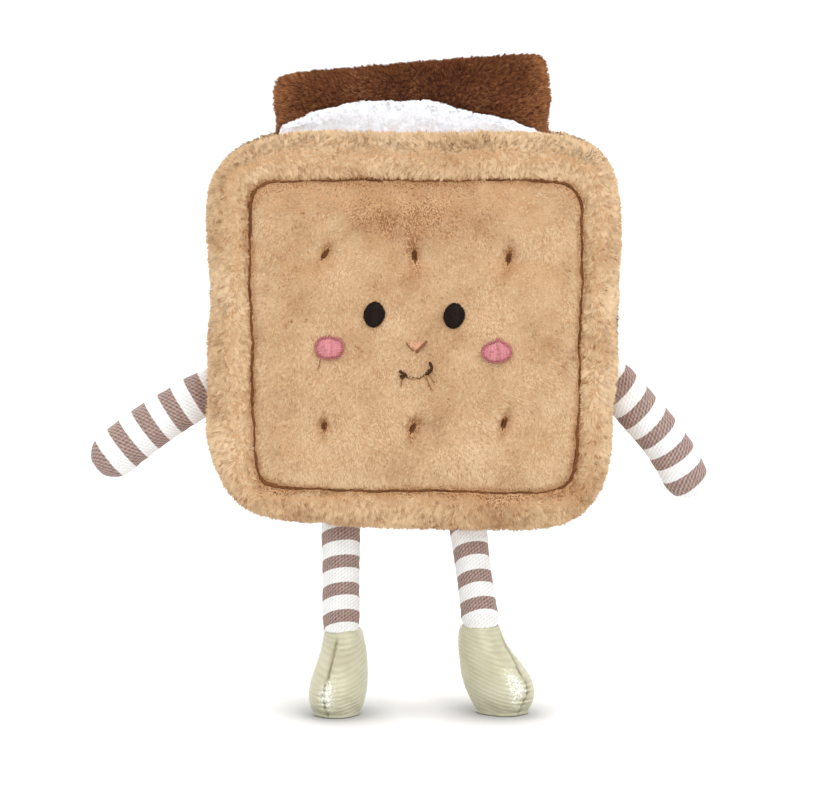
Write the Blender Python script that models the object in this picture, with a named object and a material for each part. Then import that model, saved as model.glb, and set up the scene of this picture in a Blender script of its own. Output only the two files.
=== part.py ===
"""A soft toy in the shape of a s'more, standing on its two feet.

Two furry crackers are sewn together round their sides and bottom. A marshmallow and a bar of
chocolate stand in the pocket between them and look out at the top. Striped arms and legs come
out of the seam between the crackers, and each leg ends in a padded shoe with a flat sole. The
front cracker carries an embroidered face.

Metres, +Z up. The face looks along -Y, and left and right are as seen from the front. Sizes of
the body are measured from the middle of the crackers' panels, at the seam between them.
"""

import math

import bmesh
import bpy
from mathutils import Vector
from mathutils.bvhtree import BVHTree

GAP = 0.0003  # between pieces that touch
END_TURNS = [math.radians(a) for a in (30, 58, 80)]  # rings that round off an end

# The crackers
BODY_HALF_WIDTH = 0.1004
BODY_HALF_HEIGHT = 0.0976
BODY_HEIGHT_ABOVE_FLOOR = 0.1952
BODY_POWER = 6.0  # how square the outline is: 2 is an ellipse
BODY_TAPER = 0.022  # wider at the top and narrower at the bottom by this share
BODY_OFFSET = (-0.0013, 0.0005)  # from the middle of the panel to the middle of the outline
BODY_LEAN = 0.0011  # the top of the outline sits this far to the right, and the bottom to the left
BOTTOM_SLANT = 0.034  # the bottom edge falls to the right
SLANT_POWER = 4
CRACKER_DEPTH = 0.0395
ROLL_MIDDLE = 0.018  # depth at which a cracker is widest
ROLL_INSET = 0.011  # from the widest line in to the crest of the rim
BACK_EDGE_ANGLE = math.radians(70)
CREST_ANGLES = [math.radians(a) for a in (25, 50, 72, 90)]
BACK_ANGLES = [math.radians(a) for a in (70, 45, 20, 0)]
GROOVE_INSET = 0.0194  # the stitched line that borders the panel
GROOVE_HALF_WIDTH = 0.0811
GROOVE_HALF_HEIGHT = 0.0766
GROOVE_DIP = 0.0072
GROOVE_POWER = 20.0
GROOVE_STEPS = (0.5, 0.8, 1.0)
PANEL_DROP = 0.0014  # the panel sits a little below the middle
PANEL_CROWN = 0.0068
PANEL_FLATNESS = 12  # the higher, the closer to the groove the panel stays full
PANEL_CELLS = 20  # grid cells along each side of the panel

# The six stitches that dimple each cracker, in x and z
DIMPLES = [(-0.0450, 0.0394), (-0.0010, 0.0386), (0.0453, 0.0376),
           (-0.0456, -0.0456), (-0.0019, -0.0467), (0.0432, -0.0441)]
DIMPLE_DEPTH = 0.0038

# The pocket between the crackers, and what stands in it
POCKET_MIDDLE = -0.0020
POCKET_HALF_WIDTH = 0.0692
POCKET_HALF_DEPTH = 0.0134
POCKET_FLOOR = -0.0675
POCKET_TOP = 0.1300
PAD_FLOOR = -0.0650
PAD_LIFT_OFF = 0.0990  # above this height a pad is free of the crackers and swells
PAD_END_RADIUS = 0.0075
PAD_END_NARROWING = 0.0045
PAD_POINTS = 40
PAD_SIDE_POWER = 0.35  # the lower, the flatter the sides of a pad's section
PAD_FACE_POWER = 0.8
PAD_POCKET_HEIGHTS = (-0.020, 0.030, 0.075, PAD_LIFT_OFF - 0.004)
PAD_FREE_SHARES = (0.1, 0.45, 1.0)
PAD_SWELL_SHARE = 0.62  # share of the free height over which a pad swells

MARSHMALLOW_HALF_WIDTH = 0.0678
MARSHMALLOW_OFFSET = -0.0020
MARSHMALLOW_TOP = 0.1124
MARSHMALLOW_SWELL = 0.0190
MARSHMALLOW_ARCH = 0.90  # how much of its free height is lost at its ends
CHOCOLATE_HALF_WIDTH = 0.0687
CHOCOLATE_OFFSET = -0.0020
CHOCOLATE_TOP = 0.1318
CHOCOLATE_SWELL = 0.0185
CHOCOLATE_SLANT = 0.086  # its top edge rises to the right

# Arms and legs
LIMB_POINTS = 18
SEAM_HALF_DEPTH = 0.0005  # of a limb's cloth, pressed flat in the seam
SEAM_FULLNESS = 0.12  # how far it has filled out where it leaves the seam
SEAM_CLEARANCE = 0.0015  # of a leg below the seam

# Arms: the middle line in x and z, from near the seam to the middle of the round hand, and
# the radius where it leaves the body and at the hand
ARM_PATHS = {
    "arm_left": [(-0.0930, -0.0255), (-0.1145, -0.0373), (-0.1336, -0.0500), (-0.1508, -0.0634)],
    "arm_right": [(0.0930, -0.0205), (0.1099, -0.0396), (0.1248, -0.0571), (0.1350, -0.0745)],
}
ARM_RADII = {"arm_left": (0.0107, 0.0117), "arm_right": (0.0107, 0.0110)}
ARM_STEPS = 9
ARM_BEND = 0.016  # length over which an arm turns from the seam into its own line
ARM_FILLING = 0.026  # length over which it goes from flat to round

# Legs: x and half width at the seam and at the ankle, and the height of the shoe's top edge
LEGS = {
    "leg_left": {"top": (-0.0381, 0.0104), "ankle": (-0.0381, 0.0091), "shoe_top": 0.0404},
    "leg_right": {"top": (0.0246, 0.0104), "ankle": (0.0326, 0.0093), "shoe_top": 0.0424},
}
ANKLE_BACK = 0.0105  # the ankles stand this far behind the seam
LEG_SHARES = (0.0, 0.045, 0.09, 0.15, 0.24, 0.42, 0.62, 0.82, 1.0)
LEG_FILLING = 0.28  # share of the length over which a leg goes from flat to round
LEG_NARROWING = 0.62

# Shoes: height as a share of the whole, middle of the ring forward, half length, half width
SHOE_RINGS = [
    (0.00, 0.0135, 0.0110, 0.0088),
    (0.04, 0.0146, 0.0130, 0.0109),
    (0.14, 0.0146, 0.0154, 0.0125),
    (0.28, 0.0129, 0.0178, 0.0132),
    (0.43, 0.0106, 0.0186, 0.0126),
    (0.57, 0.0074, 0.0168, 0.0116),
    (0.66, 0.0048, 0.0148, 0.0111),
    (0.75, 0.0022, 0.0125, 0.0107),
    (0.86, 0.0003, 0.0108, 0.0102),
    (0.94, 0.0000, 0.0102, 0.0099),
    (1.00, 0.0000, 0.0096, 0.0094),
]
SHOE_POINTS = 32
SHOE_POWER = 2.3
SHOE_TURNS = {"shoe_left": math.radians(-14), "shoe_right": math.radians(46)}
SHOE_SHIFTS = {"shoe_left": 0.0016, "shoe_right": 0.0}  # to the right of the ankle

# The face: middle in x and z, and full width and height
EYES = {"eye_left": (-0.0207, 0.0100), "eye_right": (0.0185, 0.0094)}
EYE_SIZE = (0.0105, 0.0129)
CHEEKS = {"cheek_left": (-0.0425, -0.0064), "cheek_right": (0.0394, -0.0085)}
CHEEK_SIZE = (0.0148, 0.0110)
NOSE = (0.0003, -0.0058)
NOSE_SIZE = (0.0110, 0.0075)
SMILE_ENDS = ((-0.0068, -0.0187), (0.0063, -0.0172))
SMILE_SAG = 0.0037
SMILE_WIDTH = 0.0014
THREAD_THICKNESS = 0.0010
THREAD_CROWN = 0.0005
PATCH_POINTS = 20
PATCH_SECTIONS = ((1.0, 0.0), (1.0, 0.6), (0.86, 1.0))  # share of size, share of thickness
NOSE_POINTEDNESS = 0.24
SMILE_STEPS = 10

# Colours are linear
TAN_FUR = ((0.66, 0.42, 0.24), 0.95, 0.0)
WHITE_FLEECE = ((0.86, 0.86, 0.86), 0.95, 0.0)
BROWN_FUR = ((0.118, 0.042, 0.018), 0.90, 0.0)
STRIPED_COTTON = ((0.62, 0.56, 0.53), 0.85, 0.0)
GOLD_LAME = ((0.66, 0.63, 0.42), 0.45, 0.5)
BLACK_THREAD = ((0.022, 0.014, 0.012), 0.60, 0.0)
PINK_THREAD = ((0.70, 0.27, 0.28), 0.65, 0.0)
TAN_THREAD = ((0.50, 0.25, 0.15), 0.65, 0.0)
BROWN_THREAD = ((0.12, 0.06, 0.035), 0.65, 0.0)


def clear_scene():
    for old in list(bpy.data.objects):
        bpy.data.objects.remove(old, do_unlink=True)


def make_material(name, finish):
    colour, roughness, metallic = finish
    material = bpy.data.materials.new(name)
    material.use_nodes = True
    shader = material.node_tree.nodes["Principled BSDF"]
    shader.inputs["Base Color"].default_value = (*colour, 1.0)
    shader.inputs["Roughness"].default_value = roughness
    shader.inputs["Metallic"].default_value = metallic
    return material


def add_object(name, bm, finish, toy):
    """Finishes a mesh as a named piece of the toy."""
    bmesh.ops.recalc_face_normals(bm, faces=bm.faces)
    mesh = bpy.data.meshes.new(name)
    bm.to_mesh(mesh)
    bm.free()
    mesh.shade_smooth()
    piece = bpy.data.objects.new(name, mesh)
    bpy.context.scene.collection.objects.link(piece)
    piece.parent = toy
    if finish:
        mesh.materials.append(make_material(name, finish))
    return piece


def loft(rings):
    """One closed body through rings of equal length, with a flat cap at each end."""
    bm = bmesh.new()
    loops = [[bm.verts.new(point) for point in ring] for ring in rings]
    for lower, upper in zip(loops, loops[1:]):
        bridge(bm, lower, upper)
    bm.faces.new(loops[0])
    bm.faces.new(loops[-1])
    return bm


def bridge(bm, first, second):
    count = len(first)
    for k in range(count):
        nxt = (k + 1) % count
        bm.faces.new((first[k], first[nxt], second[nxt], second[k]))


def smooth_step(t):
    t = min(max(t, 0.0), 1.0)
    return t * t * (3 - 2 * t)


def curve_through(points, count):
    """Points on a smooth curve through the given ones, evenly spaced along its parameter."""
    ends = [2 * points[0] - points[1]] + points + [2 * points[-1] - points[-2]]
    spans = len(points) - 1
    curve = []
    for k in range(count):
        place = min(k * spans / (count - 1), spans - 1e-9)
        i = int(place)
        t = place - i
        a, b, c, d = ends[i:i + 4]
        bend = 2 * a - 5 * b + 4 * c - d
        twist = 3 * b - 3 * c + d - a
        curve.append(0.5 * (2 * b + (c - a) * t + bend * t * t + twist * t ** 3))
    return curve


def settle(x, z):
    """The slight taper and slant that the stuffing gives the crackers."""
    height = z / BODY_HALF_HEIGHT
    slant = BOTTOM_SLANT * x * max(0.0, -height) ** SLANT_POWER
    return x * (1 + BODY_TAPER * height), z - slant


def square_point(u, v, inset, power):
    """A point of the unit square laid on a rounded square, inset from the body's outline."""
    reach = max(abs(u), abs(v))
    if reach == 0:
        return 0.0, -PANEL_DROP
    side_u, side_v = u / reach, v / reach
    pull = (abs(side_u) ** power + abs(side_v) ** power) ** (-1 / power)
    rounding = 1 + (pull - 1) * reach ** 4
    inward = inset / GROOVE_INSET
    half_width = blend(BODY_HALF_WIDTH, GROOVE_HALF_WIDTH, inward)
    half_height = blend(BODY_HALF_HEIGHT, GROOVE_HALF_HEIGHT, inward)
    x, z = settle(half_width * u * rounding, half_height * v * rounding)
    shift = blend(BODY_OFFSET[0] + BODY_LEAN * v, 0.0, inward)
    lift = blend(BODY_OFFSET[1], -PANEL_DROP, inward)
    return x + shift, z + lift


def blend(outer, inner, inward):
    return outer + (inner - outer) * inward


def border_cells():
    """Grid positions once round the edge of the panel."""
    n = PANEL_CELLS
    bottom = [(i, 0) for i in range(n)]
    right = [(n, j) for j in range(n)]
    top = [(n - i, n) for i in range(n)]
    left = [(0, n - j) for j in range(n)]
    return bottom + right + top + left


def unit(cell):
    return 2 * cell / PANEL_CELLS - 1


def rim_sections():
    """Inset, depth and squareness of each ring, from the seam over the rim into the groove."""
    back_radius = (ROLL_MIDDLE - GAP / 2) / math.sin(BACK_EDGE_ANGLE)
    sections = []
    for angle in BACK_ANGLES:
        inset = ROLL_INSET * (1 - math.cos(angle))
        sections.append((inset, ROLL_MIDDLE - back_radius * math.sin(angle), BODY_POWER))
    for angle in CREST_ANGLES:
        inset = ROLL_INSET * (1 - math.cos(angle))
        depth = ROLL_MIDDLE + (CRACKER_DEPTH - ROLL_MIDDLE) * math.sin(angle)
        sections.append((inset, depth, rim_power(inset)))
    for step in GROOVE_STEPS:
        inset = ROLL_INSET + (GROOVE_INSET - ROLL_INSET) * step
        depth = CRACKER_DEPTH - GROOVE_DIP * step ** 2
        sections.append((inset, depth, rim_power(inset)))
    return sections


def rim_power(inset):
    return BODY_POWER + (GROOVE_POWER - BODY_POWER) * (inset / GROOVE_INSET) ** 1.5


def add_cracker(name, side, toy, pocket):
    """A cushion whose back is flat and whose front has a rolled rim round a crowned panel."""
    bm = bmesh.new()
    cells = border_cells()
    loops = []
    for inset, depth, power in rim_sections():
        loop = []
        for i, j in cells:
            x, z = square_point(unit(i), unit(j), inset, power)
            loop.append(bm.verts.new((x, side * depth, z)))
        loops.append(loop)
    for outer, inner in zip(loops, loops[1:]):
        bridge(bm, outer, inner)
    bm.faces.new(loops[0])
    fill_panel(bm, dict(zip(cells, loops[-1])), side)
    cracker = add_object(name, bm, TAN_FUR, toy)
    cut = cracker.modifiers.new("pocket", "BOOLEAN")
    cut.operation = "DIFFERENCE"
    cut.solver = "EXACT"
    cut.object = pocket
    return cracker


def fill_panel(bm, grid, side):
    """The grid of the panel inside the groove, with its six dimples."""
    floor = CRACKER_DEPTH - GROOVE_DIP
    for i in range(1, PANEL_CELLS):
        for j in range(1, PANEL_CELLS):
            reach = max(abs(unit(i)), abs(unit(j)))
            depth = floor + PANEL_CROWN * (1 - reach ** PANEL_FLATNESS)
            x, z = square_point(unit(i), unit(j), GROOVE_INSET, GROOVE_POWER)
            grid[i, j] = bm.verts.new((x, side * depth, z))
    for x, z in DIMPLES:
        nearest = min(grid.values(), key=lambda v: (v.co.x - x) ** 2 + (v.co.z - z) ** 2)
        nearest.co = (x, nearest.co.y - side * DIMPLE_DEPTH, z)
    for i in range(PANEL_CELLS):
        for j in range(PANEL_CELLS):
            corners = (grid[i, j], grid[i + 1, j], grid[i + 1, j + 1], grid[i, j + 1])
            bm.faces.new(corners)


def add_pocket(toy):
    """The cutter for the space between the crackers."""
    bm = bmesh.new()
    bmesh.ops.create_cube(bm, size=1.0)
    height = POCKET_TOP - POCKET_FLOOR
    for vert in bm.verts:
        vert.co.x = vert.co.x * 2 * POCKET_HALF_WIDTH + POCKET_MIDDLE
        vert.co.y *= 2 * POCKET_HALF_DEPTH
        vert.co.z = vert.co.z * height + (POCKET_TOP + POCKET_FLOOR) / 2
    pocket = add_object("pocket", bm, None, toy)
    pocket.hide_render = True
    pocket.display_type = "WIRE"
    return pocket


def pad_ring(middle, half_width, near, far, height):
    """A flat-sided oval across a pad, from depth near to depth far."""
    ring = []
    for k in range(PAD_POINTS):
        angle = 2 * math.pi * k / PAD_POINTS
        across = math.copysign(abs(math.cos(angle)) ** PAD_SIDE_POWER, math.cos(angle))
        through = math.copysign(abs(math.sin(angle)) ** PAD_FACE_POWER, math.sin(angle))
        depth = (near + far) / 2 + through * (far - near) / 2
        ring.append(Vector((middle + across * half_width, depth, height)))
    return ring


def pad_rings(side, middle, half_width, top, swell):
    """Rings of a pad, from its round lower edge up through the pocket to its round top edge."""
    inner = GAP / 2
    outer = POCKET_HALF_DEPTH - GAP
    rings = []
    for turn in reversed([0.0] + END_TURNS):
        height = PAD_FLOOR + PAD_END_RADIUS * (1 - math.sin(turn))
        rings.append(rounded_ring(side, middle, half_width, inner, outer, turn, height))
    for height in PAD_POCKET_HEIGHTS:
        rings.append(rounded_ring(side, middle, half_width, inner, outer, 0.0, height))
    for share in PAD_FREE_SHARES:
        height = PAD_LIFT_OFF + (top - PAD_END_RADIUS - PAD_LIFT_OFF) * share
        grown = outer + (swell - outer) * smooth_step(share / PAD_SWELL_SHARE)
        rings.append(rounded_ring(side, middle, half_width, inner, grown, 0.0, height))
    for turn in END_TURNS:
        height = top - PAD_END_RADIUS * (1 - math.sin(turn))
        rings.append(rounded_ring(side, middle, half_width, inner, swell, turn, height))
    return rings


def rounded_ring(side, middle, half_width, inner, outer, turn, height):
    """One ring of a pad. A turn above zero thins it, as the edge of a cushion rounds over."""
    depth = (inner + outer) / 2
    half = (outer - inner) / 2 * math.cos(turn)
    narrow = half_width - PAD_END_NARROWING * (1 - math.cos(turn))
    return pad_ring(middle, narrow, side * (depth - half), side * (depth + half), height)


def add_marshmallow(toy):
    rings = pad_rings(-1, MARSHMALLOW_OFFSET, MARSHMALLOW_HALF_WIDTH, MARSHMALLOW_TOP,
                      MARSHMALLOW_SWELL)

    def arch(x):
        return 1 - MARSHMALLOW_ARCH * ((x - MARSHMALLOW_OFFSET) / MARSHMALLOW_HALF_WIDTH) ** 2

    stretch_free_end(rings, arch)
    return add_object("marshmallow", loft(rings), WHITE_FLEECE, toy)


def add_chocolate(toy):
    rings = pad_rings(1, CHOCOLATE_OFFSET, CHOCOLATE_HALF_WIDTH, CHOCOLATE_TOP, CHOCOLATE_SWELL)
    rise = CHOCOLATE_TOP - PAD_LIFT_OFF
    stretch_free_end(rings, lambda x: 1 + CHOCOLATE_SLANT * (x - CHOCOLATE_OFFSET) / rise)
    return add_object("chocolate", loft(rings), BROWN_FUR, toy)


def stretch_free_end(rings, factor):
    """Scales the height of what stands free of the crackers by a factor that depends on x."""
    for ring in rings:
        for point in ring:
            if point.z > PAD_LIFT_OFF:
                point.z = PAD_LIFT_OFF + (point.z - PAD_LIFT_OFF) * factor(point.x)


def limb_ring(middle, along, half_width, half_depth):
    """An oval across a limb that runs in a plane of constant depth."""
    across = Vector((-along.z, 0, along.x))
    ring = []
    for k in range(LIMB_POINTS):
        angle = 2 * math.pi * k / LIMB_POINTS
        depth = Vector((0, half_depth * math.sin(angle), 0))
        ring.append(middle + across * half_width * math.cos(angle) + depth)
    return ring


def limb_depth(half_width, filled):
    """Half the thickness of a limb: pressed flat in the seam, and as deep as wide once filled."""
    if filled == 0:
        return SEAM_HALF_DEPTH
    fullness = smooth_step(SEAM_FULLNESS + filled)
    return SEAM_HALF_DEPTH + (half_width - SEAM_HALF_DEPTH) * fullness


def seam_point(u, v):
    """A point on the line where the two crackers are sewn together."""
    return square_point(u, v, ROLL_INSET * (1 - math.cos(BACK_EDGE_ANGLE)), BODY_POWER)


def add_arm(name, toy):
    """A stuffed tube, flat where it is sewn into the side seam and round at the hand."""
    near_radius, hand_radius = ARM_RADII[name]
    points = [Vector((x, 0, z)) for x, z in ARM_PATHS[name]]
    side = math.copysign(1, points[0].x)
    outward = Vector((side, 0, 0))
    points[0].x = seam_point(side, points[0].z / BODY_HALF_HEIGHT)[0] + side * 2 * GAP
    path = curve_through(points, ARM_STEPS)
    rings = []
    for k, middle in enumerate(path):
        after = path[min(k + 1, len(path) - 1)]
        before = path[max(k - 1, 0)]
        away = (middle - path[0]).length
        along = outward.lerp((after - before).normalized(), smooth_step(away / ARM_BEND))
        radius = near_radius + (hand_radius - near_radius) * k / (ARM_STEPS - 1)
        half_depth = limb_depth(radius, away / ARM_FILLING)
        rings.append(limb_ring(middle, along.normalized(), radius, half_depth))
    along = (path[-1] - path[-2]).normalized()
    for turn in END_TURNS:
        middle = path[-1] + along * hand_radius * math.sin(turn)
        half = hand_radius * math.cos(turn)
        rings.append(limb_ring(middle, along, half, half))
    return add_object(name, loft(rings), STRIPED_COTTON, toy)


def add_leg(name, toy):
    """A stuffed tube, flat where it is sewn into the bottom seam, down to the shoe."""
    leg = LEGS[name]
    top_x, top_half = leg["top"]
    ankle_x, ankle_half = leg["ankle"]
    top = seam_point(top_x / BODY_HALF_WIDTH, -1)[1] - SEAM_CLEARANCE
    bottom = leg["shoe_top"] + GAP - BODY_HEIGHT_ABOVE_FLOOR
    rings = []
    for share in LEG_SHARES:
        middle = Vector((top_x + (ankle_x - top_x) * share, ANKLE_BACK * share,
                         top + (bottom - top) * share))
        half = top_half + (ankle_half - top_half) * smooth_step(share / LEG_NARROWING)
        half_depth = limb_depth(half, share / LEG_FILLING)
        rings.append(limb_ring(middle, Vector((0, 0, -1)), half, half_depth))
    return add_object(name, loft(rings), STRIPED_COTTON, toy)


def add_shoe(name, toy):
    """A padded shoe, widest low over its toe, with a flat sole."""
    leg = LEGS[name.replace("shoe", "leg")]
    turn = SHOE_TURNS[name]
    forward = Vector((math.sin(turn), -math.cos(turn), 0))
    across = Vector((math.cos(turn), math.sin(turn), 0))
    ankle_x = leg["ankle"][0] + SHOE_SHIFTS[name]
    ankle = Vector((ankle_x, ANKLE_BACK, -BODY_HEIGHT_ABOVE_FLOOR))
    rings = []
    for share, ahead, half_length, half_width in SHOE_RINGS:
        middle = ankle + forward * ahead + Vector((0, 0, leg["shoe_top"] * share))
        ring = []
        for k in range(SHOE_POINTS):
            angle = 2 * math.pi * k / SHOE_POINTS
            reach = (abs(math.cos(angle)) ** SHOE_POWER
                     + abs(math.sin(angle)) ** SHOE_POWER) ** (-1 / SHOE_POWER)
            length = half_length * reach * math.cos(angle)
            width = half_width * reach * math.sin(angle)
            ring.append(middle + forward * length + across * width)
        rings.append(ring)
    return add_object(name, loft(rings), GOLD_LAME, toy)


def oval_outline(size):
    width, height = size
    turns = [2 * math.pi * k / PATCH_POINTS for k in range(PATCH_POINTS)]
    return [(width / 2 * math.cos(a), height / 2 * math.sin(a)) for a in turns]


def triangle_outline(size):
    """A triangle with round corners that points down."""
    width, height = size
    outline = []
    for k in range(PATCH_POINTS):
        angle = 2 * math.pi * k / PATCH_POINTS
        reach = 1 - NOSE_POINTEDNESS * math.cos(3 * (angle + math.pi / 2) + math.pi)
        outline.append((width / 2 * reach * math.cos(angle), height / 2 * reach * math.sin(angle)))
    return outline


def smile_outline():
    """A narrow band along an arc that sags between the corners of the mouth."""
    (x0, z0), (x1, z1) = SMILE_ENDS
    upper, lower = [], []
    for k in range(SMILE_STEPS + 1):
        t = k / SMILE_STEPS
        x = x0 + (x1 - x0) * t
        z = z0 + (z1 - z0) * t - SMILE_SAG * 4 * t * (1 - t)
        upper.append((x, z + SMILE_WIDTH / 2))
        lower.append((x, z - SMILE_WIDTH / 2))
    return upper, lower


def face_depth(face, x, z):
    """Depth of the front cracker's surface at a point of the face."""
    return face.ray_cast(Vector((x, -0.2, z)), Vector((0, 1, 0)))[0].y


def add_patch(name, outline, place, finish, face, toy):
    """A flat patch of thread with a low crown, laid on the front cracker."""
    bm = bmesh.new()
    rings = []
    for scale, share in PATCH_SECTIONS:
        height = GAP + THREAD_THICKNESS * share
        ring = []
        for x, z in outline:
            px, pz = place[0] + x * scale, place[1] + z * scale
            ring.append(bm.verts.new((px, face_depth(face, px, pz) - height, pz)))
        rings.append(ring)
    bridge(bm, rings[0], rings[1])
    bridge(bm, rings[1], rings[2])
    for ring, height in ((rings[0], GAP), (rings[2], GAP + THREAD_THICKNESS + THREAD_CROWN)):
        pole = bm.verts.new((place[0], face_depth(face, *place) - height, place[1]))
        for k, vert in enumerate(ring):
            bm.faces.new((vert, ring[(k + 1) % len(ring)], pole))
    return add_object(name, bm, finish, toy)


def add_smile(face, toy):
    bm = bmesh.new()
    strips = []
    for edge in smile_outline():
        for height in (GAP, GAP + THREAD_THICKNESS):
            strips.append([bm.verts.new((x, face_depth(face, x, z) - height, z)) for x, z in edge])
    upper_back, upper_front, lower_back, lower_front = strips
    around = (upper_back, upper_front, lower_front, lower_back)
    for k in range(len(upper_back) - 1):
        for first, second in zip(around, around[1:] + around[:1]):
            bm.faces.new((first[k], first[k + 1], second[k + 1], second[k]))
    for end in (0, -1):
        bm.faces.new([strip[end] for strip in around])
    return add_object("smile", bm, BROWN_THREAD, toy)


def surface_of(piece):
    """A search tree over a piece as its modifiers leave it."""
    bpy.context.view_layer.update()
    return BVHTree.FromObject(piece, bpy.context.evaluated_depsgraph_get())


def add_face(cracker, toy):
    face = surface_of(cracker)
    for name, place in EYES.items():
        add_patch(name, oval_outline(EYE_SIZE), place, BLACK_THREAD, face, toy)
    for name, place in CHEEKS.items():
        add_patch(name, oval_outline(CHEEK_SIZE), place, PINK_THREAD, face, toy)
    add_patch("nose", triangle_outline(NOSE_SIZE), NOSE, TAN_THREAD, face, toy)
    add_smile(face, toy)


def stand_on_origin(toy):
    """Moves the toy so that it stands on the floor with its middle over the origin."""
    bpy.context.view_layer.update()
    depsgraph = bpy.context.evaluated_depsgraph_get()
    low, high = Vector((1e9,) * 3), Vector((-1e9,) * 3)
    for piece in toy.children:
        if piece.hide_render:
            continue
        for vert in piece.evaluated_get(depsgraph).data.vertices:
            low = Vector(map(min, low, vert.co))
            high = Vector(map(max, high, vert.co))
    toy.location = (-(low.x + high.x) / 2, -(low.y + high.y) / 2, -low.z)


def build():
    clear_scene()
    toy = bpy.data.objects.new("toy", None)
    bpy.context.scene.collection.objects.link(toy)
    pocket = add_pocket(toy)
    front = add_cracker("cracker_front", -1, toy, pocket)
    add_cracker("cracker_back", 1, toy, pocket)
    add_marshmallow(toy)
    add_chocolate(toy)
    for name in ARM_PATHS:
        add_arm(name, toy)
    for name in LEGS:
        add_leg(name, toy)
    for name in SHOE_TURNS:
        add_shoe(name, toy)
    add_face(front, toy)
    stand_on_origin(toy)


build()
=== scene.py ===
"""The looks of the s'more toy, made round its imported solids.

Two furry cushions, a fleece marshmallow and a shaggy bar of chocolate, striped cotton limbs,
ribbed shoes and an embroidered face. Metres, +Z up. The face looks along -Y, and left and right
are as seen from the front.
"""
import math
from collections import namedtuple

import bpy
import numpy as np
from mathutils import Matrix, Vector, kdtree, noise
from mathutils.bvhtree import BVHTree

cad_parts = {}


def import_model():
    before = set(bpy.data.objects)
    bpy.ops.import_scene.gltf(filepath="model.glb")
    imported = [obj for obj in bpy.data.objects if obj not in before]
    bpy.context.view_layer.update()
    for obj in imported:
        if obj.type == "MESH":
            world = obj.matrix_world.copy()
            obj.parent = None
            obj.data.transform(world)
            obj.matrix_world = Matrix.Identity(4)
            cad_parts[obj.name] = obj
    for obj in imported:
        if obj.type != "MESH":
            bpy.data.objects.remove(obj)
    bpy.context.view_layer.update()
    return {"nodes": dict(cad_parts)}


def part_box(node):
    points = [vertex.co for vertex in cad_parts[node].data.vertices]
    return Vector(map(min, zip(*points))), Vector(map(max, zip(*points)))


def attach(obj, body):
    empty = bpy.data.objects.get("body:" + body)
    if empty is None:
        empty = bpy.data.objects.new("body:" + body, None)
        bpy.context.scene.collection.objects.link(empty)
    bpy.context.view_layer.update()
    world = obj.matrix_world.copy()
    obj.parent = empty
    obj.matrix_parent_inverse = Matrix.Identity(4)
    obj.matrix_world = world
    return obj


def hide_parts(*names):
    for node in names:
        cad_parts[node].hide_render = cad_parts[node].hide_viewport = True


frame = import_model()

MM = 0.001

# Colours as on a screen, from dark to light
TAN_TIPS = ((132, 80, 40), (203, 171, 134), (229, 201, 166))
# The roots of each fur here are darker than its tips: painted shade deep in the pile
TAN_ROOTS = ((112, 64, 31), (195, 161, 124), (218, 186, 149))
TAN_BACKING = ((174, 132, 93), (193, 155, 117))
BROWN_TIPS = ((70, 38, 22), (106, 65, 42), (158, 108, 70))
BROWN_ROOTS = ((30, 13, 8), (50, 26, 15), (94, 56, 34))
BROWN_BACKING = ((46, 22, 13), (66, 35, 22))
BROWN_SHEEN = (220, 150, 100)
WHITE_TIPS = ((228, 230, 236), (240, 241, 245))
WHITE_ROOTS = ((222, 224, 231), (234, 236, 241))
WHITE_BACKING = ((230, 231, 236), (238, 239, 243))
MAUVE_TWILL = ((104, 82, 77), (184, 160, 151))
MAUVE_SPECKLE = ((104, 82, 78), (186, 164, 153))
WHITE_TWILL = ((220, 221, 220), (240, 240, 238))
LAME_CLOTH = ((178, 176, 148), (192, 189, 166))
LAME_RIB = (216, 214, 188)
LAME_FLECK = (158, 156, 124)
LAME_GLINT = (244, 243, 236)
# Painted shade of the shoes' seam and of the hollows of its puckers
LAME_SEAM_SHADE = (96, 94, 66)
STITCH_THREAD = ((58, 33, 19), (122, 79, 48))
BLACK_THREAD = ((17, 12, 10), (38, 30, 25))
PINK_THREAD = ((164, 90, 97), (211, 145, 148))
TAN_THREAD = ((190, 138, 108), (216, 170, 140))
SMILE_THREAD = ((38, 24, 15), (84, 58, 40))
NOSE_THREAD = ((94, 58, 36), (146, 102, 68))

# The middle of the crackers, at the seam between them. Places on the toy are measured from it.
BODY = np.array((0.00821, 0.0007, 0.1952))
FRONT, BACK = -1, 1

# Camera: what it looks at, and from where
AIM = Vector((0.0060, 0.0, 0.1577))
CAMERA_ELEVATION = math.radians(6.5)
CAMERA_DISTANCE = 2.2
CAMERA_LENS = 192.0

# Light
WORLD_STRENGTH = 1.26
LIGHT_SOFTNESS = math.radians(50)
KEY = (1.12, (math.radians(40), 0.0, math.radians(28)))
BACK_LIGHT = (1.1, (math.radians(-52), 0.0, math.radians(6)))
FLOOR_HALF_SIZE = 40.0
FLOOR_DROP = 0.0002
# The shadow of contact on the floor: how far it reaches, and its greys from closed in to open
CONTACT_REACH = 0.038
CONTACT_SHADES = [(0.0, 0.58), (0.70, 0.63), (0.90, 0.83), (0.985, 1.0)]

# The crackers
BODY_HALF_HEIGHT = 0.0976
BODY_TAPER = 0.022
BOTTOM_SLANT = 0.034
SLANT_POWER = 4
GROOVE_HALF_WIDTH = 0.0811
GROOVE_HALF_HEIGHT = 0.0766
GROOVE_DROP = 0.0014
GROOVE_POWER = 12.0
GROOVE_WAVE = 0.0007
POCKET_MIDDLE = -0.0020
POCKET_HALF_WIDTH = 0.0692
POCKET_DEPTH = 0.0134
POCKET_FLOOR = -0.0675
POCKET_MARGIN = 1.5 * MM
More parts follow.
